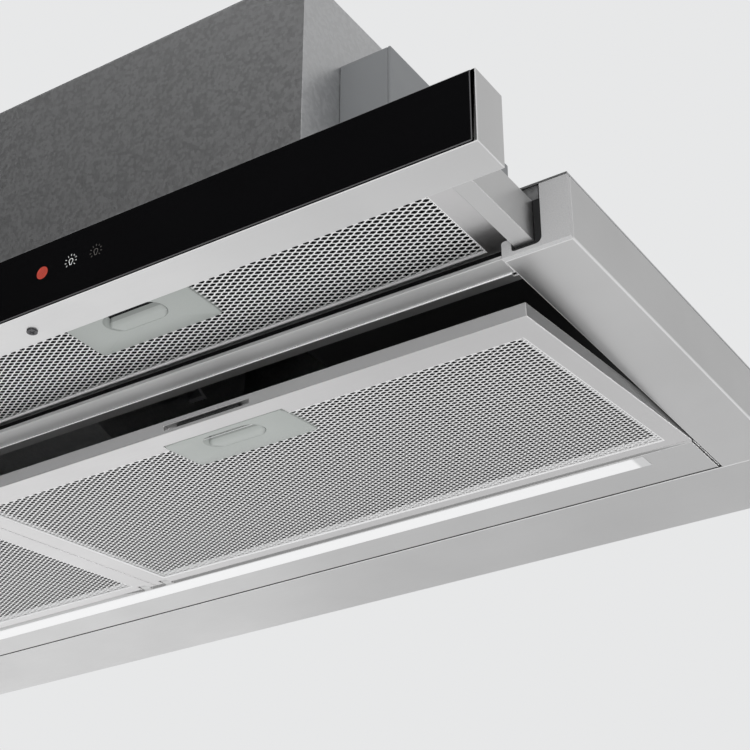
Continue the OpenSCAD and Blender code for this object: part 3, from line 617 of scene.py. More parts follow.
GLASS = DeepGlass("fascia_glass_black", (0.004, 0.004, 0.0045), 0.05)
LENS = LitLens("lens_frosted_lit", (0.46, 0.463, 0.466), 0.4, strength=0.46)
RED_PRINT = SoftGlow("print_red", (0.55, 0.07, 0.045), 0.5, strength=0.55)
WHITE_PRINT = SoftGlow("print_white", (0.82, 0.84, 0.82), 0.5, strength=0.7)
DIM_PRINT = SoftGlow("print_dim", (0.16, 0.15, 0.14), 0.5, strength=0.3)
BOARD = BoardLaminate("board_laminate", (0.02, 0.10, 0.05), 0.35)

FLOOR_PALE = PaleFloor("floor_pale", (0.72, 0.72, 0.725), 0.8, fleck=0.01, grain_scale=40.0)
CARD_BLACK = MouldedPlastic("card_black", grey(0.01), 0.9, fleck=0.05, grain_scale=40.0)


# ---------------------------------------------------------------- making pieces


def clothe(piece: bpy.types.Object, finish: Finish) -> None:
    """Gives an object one finish on every slot.

    Args:
        piece: the object.
        finish: the finish.
    """
    material = finish.material()
    if not piece.material_slots:
        piece.data.materials.append(material)
    for slot in piece.material_slots:
        slot.material = material


def new_piece(
    name: str,
    data: bpy.types.Mesh,
    body: str,
    slot: str,
    finish: Finish,
    stands_for: Iterable[str] = (),
) -> bpy.types.Object:
    """Puts a mesh into the scene as a piece of the hood.

    Args:
        name: the piece's name.
        data: its mesh, in the frame's metres.
        body: the body that it rides on.
        slot: the record's material slot; not used.
        finish: its finish.
        stands_for: nodes that it replaces.

    Returns:
        The new object.
    """
    piece = bpy.data.objects.new(name, data)
    bpy.context.scene.collection.objects.link(piece)
    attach(piece, body)
    for node in stands_for:
        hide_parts(node)
    clothe(piece, finish)
    LOG.info("made %s on %s in %s", name, body, finish.name)
    return piece


def mesh_of(work: bmesh.types.BMesh, name: str) -> bpy.types.Mesh:
    """Turns finished mesh work into a mesh and frees the work.

    Args:
        work: the mesh that was built.
        name: the mesh's name.

    Returns:
        The mesh.
    """
    data = bpy.data.meshes.new(name)
    work.to_mesh(data)
    work.free()
    return data


def smooth(data: bpy.types.Mesh, sharp_degrees: float) -> None:
    """Shades a mesh smooth, apart from edges sharper than so many degrees."""
    data.shade_smooth()
    data.set_sharp_from_angle(angle=math.radians(sharp_degrees))


def add_material(piece: bpy.types.Object, finish: Finish) -> int:
    """Adds a further finish to a piece and gives its index."""
    piece.data.materials.append(finish.material())
    return len(piece.data.materials) - 1


def shade_where(
    piece: bpy.types.Object, finish: Finish, inside: Callable[[Vector, Vector], bool]
) -> None:
    """Gives some faces of a piece a second finish.

    Args:
        piece: the piece.
        finish: the second finish.
        inside: whether a face takes it, from its middle as a drawing point and its normal.
    """
    index = add_material(piece, finish)
    for face in piece.data.polygons:
        if inside(drawn(face.center), face.normal):
            face.material_index = index


def round_edges(
    piece: bpy.types.Object, radius: float, segments: int = 2, edge: Finish | None = None
) -> None:
    """Rounds an object's sharp edges.

    Args:
        piece: the object.
        radius: radius of the rounding in mm.
        segments: facets across the rounding.
        edge: finish of the rounding, where it isn't that of the faces beside it.
    """
    bevel = piece.modifiers.new("rounding", "BEVEL")
    bevel.width = radius * MM
    bevel.segments = segments
    bevel.limit_method = "ANGLE"
    bevel.angle_limit = math.radians(SHARP_DEGREES)
    bevel.use_clamp_overlap = False
    piece.data.shade_smooth()
    flats = piece.modifiers.new("flat_faces", "WEIGHTED_NORMAL")
    flats.weight = FLAT_WEIGHT
    flats.keep_sharp = True
    if edge:
        bevel.material = add_material(piece, edge)


def block(
    work: bmesh.types.BMesh,
    xs: Sequence[float],
    ys: Sequence[float],
    zs: Sequence[float],
    spot: Spot = at,
) -> None:
    """Adds a block as six faces, for later rounding.

    Args:
        work: the mesh being built.
        xs: its two limits in x, in mm.
        ys: its two limits in y.
        zs: its two limits in z.
        spot: turns a drawing point into the frame's metres.
    """
    ends = (0, 1)
    corner = {
        (i, j, k): work.verts.new(spot(xs[i], ys[j], zs[k]))
        for i in ends
        for j in ends
        for k in ends
    }
    for face in (
        ((0, 0, 0), (0, 1, 0), (1, 1, 0), (1, 0, 0)),
        ((0, 0, 1), (1, 0, 1), (1, 1, 1), (0, 1, 1)),
        ((0, 0, 0), (1, 0, 0), (1, 0, 1), (0, 0, 1)),
        ((0, 1, 0), (0, 1, 1), (1, 1, 1), (1, 1, 0)),
        ((0, 0, 0), (0, 0, 1), (0, 1, 1), (0, 1, 0)),
        ((1, 0, 0), (1, 1, 0), (1, 1, 1), (1, 0, 1)),
    ):
        work.faces.new([corner[c] for c in face])


def walls(
    work: bmesh.types.BMesh,
    near: Sequence[bmesh.types.BMVert],
    far: Sequence[bmesh.types.BMVert],
) -> None:
    """Joins two closed loops of equally many corners by a ring of faces.

    Args:
        work: the mesh being built.
        near: the first loop.
        far: the second loop.
    """
    for i in range(len(near)):
        j = (i + 1) % len(near)
        work.faces.new((near[i], near[j], far[j], far[i]))


@dataclass
class Hood:
    """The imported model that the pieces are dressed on."""

    frame: dict
    done: set[str] = field(default_factory=set)

    def node(self, name: str) -> bpy.types.Object:
        """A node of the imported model."""
        return self.frame["nodes"][name]

    def body(self, name: str) -> str:
        """The body that a node rides on."""
        return self.node(name)["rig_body"]

    def slot(self, name: str) -> str:
        """The material slot that the record gives a node."""
        return self.node(name).data.materials[0].name.split(".")[0]

    def keep(self, finish: Finish, *names: str) -> None:
        """Leaves the shape of nodes and gives them a finish.

        Args:
            finish: the finish.
            names: the nodes.
        """
        for name in names:
            clothe(self.node(name), finish)
            self.done.add(name)
            LOG.info("kept %s in %s", name, finish.name)

    def soften(
        self,
        name: str,
        finish: Finish,
        radius: float,
        segments: int = 2,
        trim: Callable[[Vector], Vector] | None = None,
        edge: Finish | None = None,
    ) -> bpy.types.Object:
        """Replaces a node by the same shape with its folded edges rounded.

        Args:
            name: the node.
            finish: its finish.
            radius: radius of the rounding in mm.
            segments: facets across the rounding.
            trim: moves a drawing point, to set the seam beside a neighbour.
            edge: finish of the rounded edges, where it isn't the piece's own.

        Returns:
            The rounded piece.
        """
        work = bmesh.new()
        work.from_mesh(self.node(name).data)
        bmesh.ops.remove_doubles(work, verts=work.verts, dist=WELD)
        bmesh.ops.dissolve_limit(
            work, angle_limit=math.radians(FLAT_DEGREES), verts=work.verts, edges=work.edges
        )
        if trim:
            for vert in work.verts:
                vert.co = at(*trim(drawn(vert.co)))
        data = mesh_of(work, name + "_shape")
        slot = self.slot(name)
        piece = new_piece(name + "_finished", data, self.body(name), slot, finish, (name,))
        round_edges(piece, radius, segments, edge)
        self.done.add(name)
        LOG.info("rounded %s by %.2f mm", name, radius)
        return piece


# ---------------------------------------------------------------- sub-assemblies


@dataclass
class Housing:
    """Flat steel housing: side profiles, end caps, crossbar, lamp panel, wall strip, tray."""

    hood: Hood
    fold_radius: float = 0.6
    cap_radius: float = 0.25
    crossbar_radius: float = 0.3
    seam_radius: float = 0.45
    strip_facets: int = 3
    seam_y: float = 275.0
    seam_gap: float = 2.0
    seam_reach: float = 2.5
    strip_front: float = 2.0
    panel_half_width: float = 410.4
    panel_flange_depth: float = 30.0
    outer_fold_height: float = 1.0
    channel_xs: Flat = (416.2, 433.8)
    channel_floor: float = 2.3
    channel_front: float = 4.0
    bead_radius: float = 0.9
    bead_y: float = 13.9
    bead_z: float = 0.15
    bead_half_length: float = 408.5
    bead_facets: int = 12
    bead_sharp_degrees: float = 50.0

    def in_channel(self, middle: Vector, normal: Vector) -> bool:
        """Whether a face of a side profile lies inside its runner channel.

        Args:
            middle: the face's middle.
            normal: its normal.

        Returns:
            True if it lies inside.
        """
        return (
            self.channel_xs[0] < abs(middle.x) < self.channel_xs[1]
            and middle.z > self.channel_floor
            and middle.y > self.channel_front
            and normal.z > -MOSTLY
            and abs(normal.y) < MOSTLY
        )

    def on_lip(self, middle: Vector, normal: Vector) -> bool:
        """Whether a face is the side of a side profile's lip that looks at the filters."""
        return abs(middle.x) < self.panel_half_width + FACE_LEEWAY and abs(normal.x) > STRAIGHT

    def on_outer_fold(self, middle: Vector, normal: Vector) -> bool:
        """Whether a face belongs to the fold along a side profile's lower outer edge."""
        low = middle.z < self.outer_fold_height
        return low and abs(normal.x) > SLIGHTLY and normal.z < -SLIGHTLY

    def on_panel_end(self, middle: Vector, normal: Vector) -> bool:
        """Whether a face of the lamp panel looks at a side profile across the seam."""
        outermost = abs(middle.x) > self.panel_half_width - self.seam_reach
        return outermost and abs(normal.z) < MOSTLY

    def on_panel_flange(self, middle: Vector, normal: Vector) -> bool:
        """Whether a face is the lamp panel's front flange."""
        return normal.y < -MOSTLY and middle.y < self.seam_y - self.panel_flange_depth

    def on_strip_front(self, middle: Vector, normal: Vector) -> bool:
        """Whether a face of the wall strip looks at the lamp panel across the seam."""
        return normal.y < -MOSTLY and middle.y < self.seam_y + self.strip_front

    def beside_seam(self, point: Vector) -> Vector:
        """Pulls the rear and side faces of the lamp panel back from their neighbours.

        Args:
            point: a corner of the panel.

        Returns:
            Where it goes.
        """
        moved = point.copy()
        if abs(point.x) > self.panel_half_width - CORNER_LEEWAY:
            moved.x = math.copysign(self.panel_half_width - self.seam_gap, point.x)
        if point.y > self.seam_y - CORNER_LEEWAY:
            moved.y = self.seam_y - self.seam_gap
        return moved

    def dress(self) -> None:
        """Rounds the folded sheets and gives every piece its finish."""
        for side in Side:
            self.flank(side)
        self.hood.soften("front_crossbar", HOUSING_STEEL, self.crossbar_radius)
        self.crossbar_bead()
        panel = self.hood.soften(
            "led_panel", HOUSING_STEEL, self.seam_radius, trim=self.beside_seam
        )
        shade_where(panel, SEAM_SHADE, self.on_panel_end)
        # Painted glow on the lamp panel's front flange, seen through the gap behind the filters
        shade_where(panel, FLANGE_GLOW, self.on_panel_flange)
        strip = self.hood.soften(
            "wall_strip", HOUSING_STEEL, self.seam_radius, self.strip_facets, edge=EDGE_HIGHLIGHT
        )
        shade_where(strip, SEAM_SHADE, self.on_strip_front)
        self.hood.keep(TRAY, "chassis_tray")
        self.hood.keep(SHAFT_STEEL, "housing_screws")
        self.hood.keep(BLACK_PLASTIC, "carriage_sensor")

    def flank(self, side: Side) -> None:
        """Dresses one side of the housing.

        Args:
            side: which side.
        """
        profile = self.hood.soften(
            f"side_profile_{side.word}", SIDE_STEEL, self.fold_radius, edge=SIDE_EDGE_HIGHLIGHT
        )
        # Painted shade in black on the faces inside the runner channel
        shade_where(profile, SEAL_BLACK_AND_CHANNEL_SHADE, self.in_channel)
        # Painted shade on the lip's face that looks at the filters
        shade_where(profile, LIP_SHADE, self.on_lip)
        # Painted highlight on the fold along the lower outer edge
        shade_where(profile, SIDE_EDGE_HIGHLIGHT, self.on_outer_fold)
        self.hood.soften(f"end_cap_{side.word}", CAP_PLASTIC, self.cap_radius)
        self.hood.keep(ZINC, f"slide_rail_{side.word}")
        self.hood.keep(SEAL_BLACK_AND_CHANNEL_SHADE, f"channel_seal_{side.word}")

    def crossbar_bead(self) -> None:
        """Folded bead along the rear of the crossbar's band, in lighter steel as a painted
        highlight where the light catches.
        """
        node = "front_crossbar"
        work = bmesh.new()
        turns = [math.pi * (i / self.bead_facets - 0.5) for i in range(self.bead_facets + 1)]
        section = [
            (self.bead_y + self.bead_radius * math.sin(turn),
             self.bead_z - self.bead_radius * math.cos(turn))
            for turn in turns
        ]
        near, far = (
            [work.verts.new(at(x, y, z)) for y, z in section]
            for x in (-self.bead_half_length, self.bead_half_length)
        )
        walls(work, near, far)
        work.faces.new(reversed(near))
        work.faces.new(far)
        bmesh.ops.recalc_face_normals(work, faces=work.faces)
        data = mesh_of(work, f"{node}_bead")
        new_piece(data.name, data, self.hood.body(node), self.hood.slot(node), BEAD_HIGHLIGHT_STEEL)
        smooth(data, self.bead_sharp_degrees)


@dataclass
class LampStrip:
    """Lamp behind the filters: a frosted lens over a strip of lamps."""

    hood: Hood
    lens_radius: float = 0.15

    def dress(self) -> None:
        """Rounds the lit lens and finishes its board."""
        self.hood.soften("led_lens", LENS, self.lens_radius)
        self.hood.keep(BOARD, "led_board")


@dataclass
class MotorUnit:
    """Sheet box above the housing with the fan, the outlet collar and its flaps."""

    hood: Hood
    sheet_radius: float = 0.35
    collar_radius: float = 0.6

    def dress(self) -> None:
        """Zinc box and fan, cast motor, black collar, satin flaps."""
        self.hood.soften("motor_box", ZINC, self.sheet_radius)
        self.hood.soften("motor_box_lid", ZINC, self.sheet_radius)
        self.hood.soften("duct_collar", BLACK_PLASTIC, self.collar_radius)
        self.hood.keep(ZINC, "fan_scroll", "motor_bracket", "fan_wheel")
        self.hood.keep(MOTOR_METAL, "fan_motor")
        self.hood.keep(SHAFT_STEEL, "motor_shaft")
        self.hood.keep(FLAP_METAL, "flap_front", "flap_rear")


@dataclass
class Electrics:
    """Control box beside the motor box, and what is in it."""

    hood: Hood
    box_radius: float = 0.8
    cover_radius: float = 0.6
    gland_radius: float = 0.5

    def dress(self) -> None:
        """Grey box and blocks, black gland."""
        self.hood.soften("control_box", GREY_PLASTIC, self.box_radius)
        self.hood.soften("control_box_cover", GREY_PLASTIC, self.cover_radius)
        self.hood.soften("cable_gland", BLACK_PLASTIC, self.gland_radius)
        self.hood.keep(GREY_PLASTIC, "terminal_block", "led_driver")


@dataclass
class Carriage:
    """What slides out with the fascia: side members, runners and rear rail."""

    hood: Hood
    member_radius: float = 0.3

    def dress(self) -> None:
        """Rounds the members and finishes the running gear."""
        for side in Side:
            member = f"carriage_side_{side.word}"
            self.hood.soften(member, MEMBER_STEEL, self.member_radius)
            self.hood.keep(BLACK_PLASTIC, f"slide_runner_{side.word}")
        # Painted shade: the rear rail in near-black, for the dark gap behind the front filters
        self.hood.keep(RAIL_SHADE_STEEL, "carriage_rear_rail")
        self.hood.keep(BLACK_PLASTIC, "carriage_magnet")


@dataclass
class Symbol:
    """A flat sign printed on the glass, built from bars and rings in its own plane."""

    name: str
    x: float
    z: float
    finish: Finish
    face_y: float = -90.3
    depth: float = 0.05
    work: bmesh.types.BMesh = field(default_factory=bmesh.new)

    def bar(self, start: Flat, end: Flat, width: float) -> None:
        """Adds one bar as a thin plate.

        Args:
            start: its start as (x, z) from the sign's middle, in mm.
            end: its end.
            width: its width in mm.
        """
        (x0, z0), (x1, z1) = start, end
        length = math.hypot(x1 - x0, z1 - z0)
        nx, nz = -(z1 - z0) / length * width / 2, (x1 - x0) / length * width / 2
        outline = ((x0 + nx, z0 + nz), (x1 + nx, z1 + nz), (x1 - nx, z1 - nz), (x0 - nx, z0 - nz))
        front, back = (
            [self.work.verts.new(at(self.x + x, y, self.z + z)) for x, z in outline]
            for y in (self.face_y, self.face_y + self.depth)
        )
        self.work.faces.new(front)
        self.work.faces.new(reversed(back))
        walls(self.work, front[::-1], back[::-1])

    def ring(
        self,
        middle: Flat,
        radius: float,
        width: float,
        turn: Flat = (0.0, 360.0),
        steps: int = 24,
    ) -> None:
        """Adds a ring or an arc.

        Args:
            middle: its middle as (x, z) in mm.
            radius: its radius in mm.
            width: its width in mm.
            turn: start and end angle in degrees.
            steps: bars that make it up.
        """
        angles = [math.radians(turn[0] + (turn[1] - turn[0]) * i / steps) for i in range(steps + 1)]
        points = [
            (middle[0] + radius * math.cos(a), middle[1] + radius * math.sin(a)) for a in angles
        ]
        for start, end in zip(points, points[1:]):
            self.bar(start, end, width)

    def place(self) -> None:
        """Makes the sign's piece from its finished mesh."""
        bmesh.ops.recalc_face_normals(self.work, faces=self.work.faces)
        data = mesh_of(self.work, self.name)
        new_piece(self.name, data, "carriage", "black_glass", self.finish)


@dataclass
class Fascia:
    """Front of the carriage: steel pan, black glass and the touch signs on it."""

    hood: Hood
    pan_radius: float = 0.45
    screw_radius: float = 0.2
    glass_ys: Flat = (-90.25, -86.3)
    glass_zs: Flat = (1.1, 42.0)
    glass_half_width: float = 446.35
    glass_radius: float = 0.7
    glass_facets: int = 3
    sign_height: float = 23.0
    power_x: float = 184.5
    lamp_x: float = 204.6
    dim_x: float = 221.7
    disc_radius: float = 3.55
    disc_line: float = 0.3
    disc_steps: int = 32
    strokes: int = 2
    stroke_pitch: float = 1.42
    stroke_width: float = 0.78
    stroke_degrees: float = 52.0
    lamp_line: float = 0.22
    bulb_rise: float = 0.4
    bulb_radius: float = 1.35
    bulb_turn: Flat = (-50.0, 230.0)
    bulb_steps: int = 18
    neck_top: Flat = (0.85, -0.7)
    neck_foot: Flat = (0.6, -1.9)
    base: Flat = (0.6, -2.0)
    rays: int = 9
    ray_reach: Flat = (3.15, 4.15)
    first_ray: float = -45.0
    ray_step: float = 33.75

    def dress(self) -> None:
        """Builds the glass and its signs, rounds the pan and the screws."""
        self.hood.soften("fascia_body", FASCIA_STEEL, self.pan_radius, edge=EDGE_HIGHLIGHT)
        self.hood.soften("fascia_screws", SCREW_STEEL, self.screw_radius)
        self.hood.keep(BOARD, "touch_board")
        self.glass()
        self.power_sign()
        self.lamp_sign("touch_sign_lamp", self.lamp_x, WHITE_PRINT)
        self.lamp_sign("touch_sign_lamp_dim", self.dim_x, DIM_PRINT)

    def glass(self) -> None:
        """A pane a hair behind the signs, with a painted highlight on its rounded edges."""
        name, node = "fascia_glass_pane", "fascia_glass"
        work = bmesh.new()
        half = self.glass_half_width
        block(work, (-half, half), self.glass_ys, self.glass_zs)
        pane = new_piece(name, mesh_of(work, name), "carriage", "black_glass", GLASS, (node,))
        round_edges(pane, self.glass_radius, self.glass_facets, GLASS_EDGE_HIGHLIGHT)
        self.hood.done.add(node)

    def power_sign(self) -> None:
        """Red disc crossed by slanting strokes."""
        sign = Symbol("touch_sign_power", self.power_x, self.sign_height, RED_PRINT)
        slant = math.radians(self.stroke_degrees)
        along = Vector((math.cos(slant), math.sin(slant)))
        across = Vector((-math.sin(slant), math.cos(slant)))
        for i in range(-self.strokes, self.strokes + 1):
            off = i * self.stroke_pitch
            reach = along * math.sqrt(self.disc_radius**2 - off**2)
            sign.bar(across * off - reach, across * off + reach, self.stroke_width)
        sign.ring((0, 0), self.disc_radius, self.disc_line, steps=self.disc_steps)
        sign.place()

    def lamp_sign(self, name: str, x: float, finish: Finish) -> None:
        """Outline of a bulb with its rays.

        Args:
            name: the piece's name.
            x: where its middle is, in mm.
            finish: its print.
        """
        sign = Symbol(name, x, self.sign_height, finish)
        line = self.lamp_line
        centre = (0, self.bulb_rise)
        sign.ring(centre, self.bulb_radius, line, self.bulb_turn, self.bulb_steps)
        for turn in (-1, 1):
            top, foot = self.neck_top, self.neck_foot
            sign.bar((turn * top[0], top[1]), (turn * foot[0], foot[1]), line)
        sign.bar((-self.base[0], self.base[1]), self.base, line)
        for i in range(self.rays):
            turn = math.radians(self.first_ray + i * self.ray_step)
            start, end = (
                (reach * math.cos(turn), self.bulb_rise + reach * math.sin(turn))
                for reach in self.ray_reach
            )
            sign.bar(start, end, line)
        sign.place()


@dataclass(frozen=True)
class RoundRect:
    """A rectangle with round corners, seen from a point inside it."""

    xs: Flat
    ys: Flat
    radius: float

    def inset(self, by: float, least_radius: float = 0.2) -> "RoundRect":
        """The same outline pulled in on every side, or pushed out by a negative amount.

        Args:
            by: how far, in mm.
            least_radius: the corners stay at least this round, in mm.

        Returns:
            The new outline.
        """
        return RoundRect(
            (self.xs[0] + by, self.xs[1] - by),
            (self.ys[0] + by, self.ys[1] - by),
            max(least_radius, self.radius - by),
        )

    def reach(self, eye: Flat, angle: float, halvings: int = 40) -> Flat:
        """Where a ray from a point inside meets the outline.

        Args:
            eye: the ray's start.
            angle: its direction in radians.
            halvings: how often the search halves its span.

        Returns:
            The point on the outline.
        """
        mid = ((self.xs[0] + self.xs[1]) / 2, (self.ys[0] + self.ys[1]) / 2)
        half = ((self.xs[1] - self.xs[0]) / 2, (self.ys[1] - self.ys[0]) / 2)
        near, far = 0.0, 4 * max(half)
        for _ in range(halvings):
            step = (near + far) / 2
            x = abs(eye[0] + step * math.cos(angle) - mid[0]) - half[0] + self.radius
            y = abs(eye[1] + step * math.sin(angle) - mid[1]) - half[1] + self.radius
            outside = math.hypot(max(x, 0), max(y, 0)) + min(max(x, y), 0) > self.radius
            near, far = (near, step) if outside else (step, far)
        return (eye[0] + near * math.cos(angle), eye[1] + near * math.sin(angle))


def ringed_solid(
    work: bmesh.types.BMesh,
    rings: Sequence[tuple[RoundRect, float]],
    eye: Flat,
    spot: Spot,
    aims: Sequence[Flat],
    count: int = 64,
) -> None:
    """Adds a closed solid through a row of round rectangles at stated heights.

    Args:
        work: the mesh being built.
        rings: the outlines and their heights in mm, from one cap to the other.
        eye: a point inside every outline.
        spot: turns a drawing point into the frame's metres.
        aims: points that must lie on a spoke, such as corners.
        count: even spokes round the outlines.
    """
    full, digits = 2 * math.pi, 5
    angles = {round(full * i / count, digits) for i in range(count)}
    angles |= {round(math.atan2(y - eye[1], x - eye[0]) % full, digits) for x, y in aims}
    spokes = sorted(angles)
    loops = [
        [work.verts.new(spot(*outline.reach(eye, angle), height)) for angle in spokes]
        for outline, height in rings
    ]
    for lower, upper in zip(loops, loops[1:]):
        walls(work, lower, upper)
    work.faces.new(reversed(loops[0]))
    work.faces.new(loops[-1])
    bmesh.ops.recalc_face_normals(work, faces=work.faces)


@dataclass(frozen=True)
class Lattice:
    """Expanded metal: rhombic cells, each with one pointed opening between slanting strands."""

    pitch: float = 6.67
    row: float = 1.75
    half_long: float = 2.08
    half_short: float = 0.97
    shoulder: Flat = (0.62, 0.72)
    lift: float = 0.22

    def opening(self) -> list[Flat]:
        """The opening's outline round its middle.

        Returns:
            Its eight points, from the one on the +x side on.
        """
        tip, top = self.half_long, self.half_short
        x, y = tip * self.shoulder[0], top * self.shoulder[1]
        upper = [(tip, 0.0), (x, y), (0.0, top), (-x, y)]
        return upper + [(-x, -y) for x, y in upper]

    def sheet(
        self,
        xs: Flat,
        ys: Flat,
        height: float,
        skip: Callable[[float, float], bool],
        middle: float,
        place: Spot,
    ) -> bpy.types.Mesh:
        """Builds one sheet of the lattice.

        Args:
            xs: its reach in x, in mm.
            ys: its reach in y, in mm.
            height: its height in mm.
            skip: whether a cell at (x, y) is left out.
            middle: the x on which the lattice is centred.
            place: turns a drawing point into the frame's metres.

        Returns:
            The sheet as a mesh.
        """
        half = self.pitch / 2
        outline = self.opening()
        quarter = len(outline) // 4
        verts: list[Vector] = []
        faces: list[list[int]] = []
        corners: dict[tuple[int, int], int] = {}

        def corner(i: int, j: int) -> int:
            """The shared corner at half-pitch column i and row j."""
            if (i, j) not in corners:
                corners[(i, j)] = len(verts)
                verts.append(place(middle + i * half, ys[0] + j * self.row, height))
            return corners[(i, j)]

        rows = int((ys[1] - ys[0]) / self.row) + 1
        columns = int((xs[1] - xs[0]) / 2 / half) + 1
        for j in range(rows + 1):
            y = ys[0] + j * self.row
            for i in range(-columns, columns + 1):
                x = middle + i * half
                within = xs[0] <= x <= xs[1] and ys[0] <= y <= ys[1]
                if (i + j) % 2 or not within or skip(x, y):
                    continue
                first = len(verts)
                for dx, dy in outline:
                    slant = self.lift * dy / self.half_short
                    verts.append(place(x + dx, y + dy, height - slant))
                around = [corner(i + 1, j), corner(i, j + 1), corner(i - 1, j), corner(i, j - 1)]
                for q in range(4):
                    span = range(q * quarter, (q + 1) * quarter + 1)
                    inner = [first + k % len(outline) for k in span]
                    faces.append([around[q], around[(q + 1) % 4], *reversed(inner)])
        data = bpy.data.meshes.new("lattice")
        data.from_pydata(verts, [], faces)
        data.update()
        return data


@dataclass(frozen=True)
class FilterKind:
    """Sizes and finishes of one kind of filter, drawn closed on the hood's right half."""

    inner_x: float
    outer_x: float
    front_y: float
    rear_y: float
    underside: float
    front_rim: float
    side_rim: float
    rear_rim: float
    handle_setback: float
    flange_side: float
    flange_rear: float
    mesh: Finish
    inner_mesh: Finish
    lattice: Lattice = Lattice()
    inner_shift: float = 0.0
    open_degrees: float = 0.0
    pivot: Flat = (0.0, 0.0)
    shaded_faces: bool = False


class Place(Enum):
    """Where a filter sits, with what its kind is like."""

    MAIN = FilterKind(
        inner_x=0.75,
        outer_x=409.25,
        front_y=24.9,
        rear_y=233.5,
        underside=0.0,
        front_rim=21.1,
        side_rim=13.3,
        rear_rim=12.0,
        handle_setback=14.2,
        flange_side=3.2,
        flange_rear=6.5,
        mesh=MAIN_MESH,
        inner_mesh=MAIN_INNER_SHADE,
        lattice=Lattice(half_long=1.95, half_short=0.82),
        inner_shift=0.25,
        open_degrees=5.4,
        pivot=(229.0, 4.0),
        shaded_faces=True,
    )
    FRONT = FilterKind(
        inner_x=0.75,
        outer_x=415.0,
        front_y=-64.5,
        rear_y=14.4,
        underside=13.5,
        front_rim=14.5,
        side_rim=17.5,
        rear_rim=5.8,
        handle_setback=10.5,
        flange_side=0.6,
        flange_rear=0.6,
        mesh=FRONT_MESH,
        inner_mesh=FRONT_INNER_SHADE,
    )


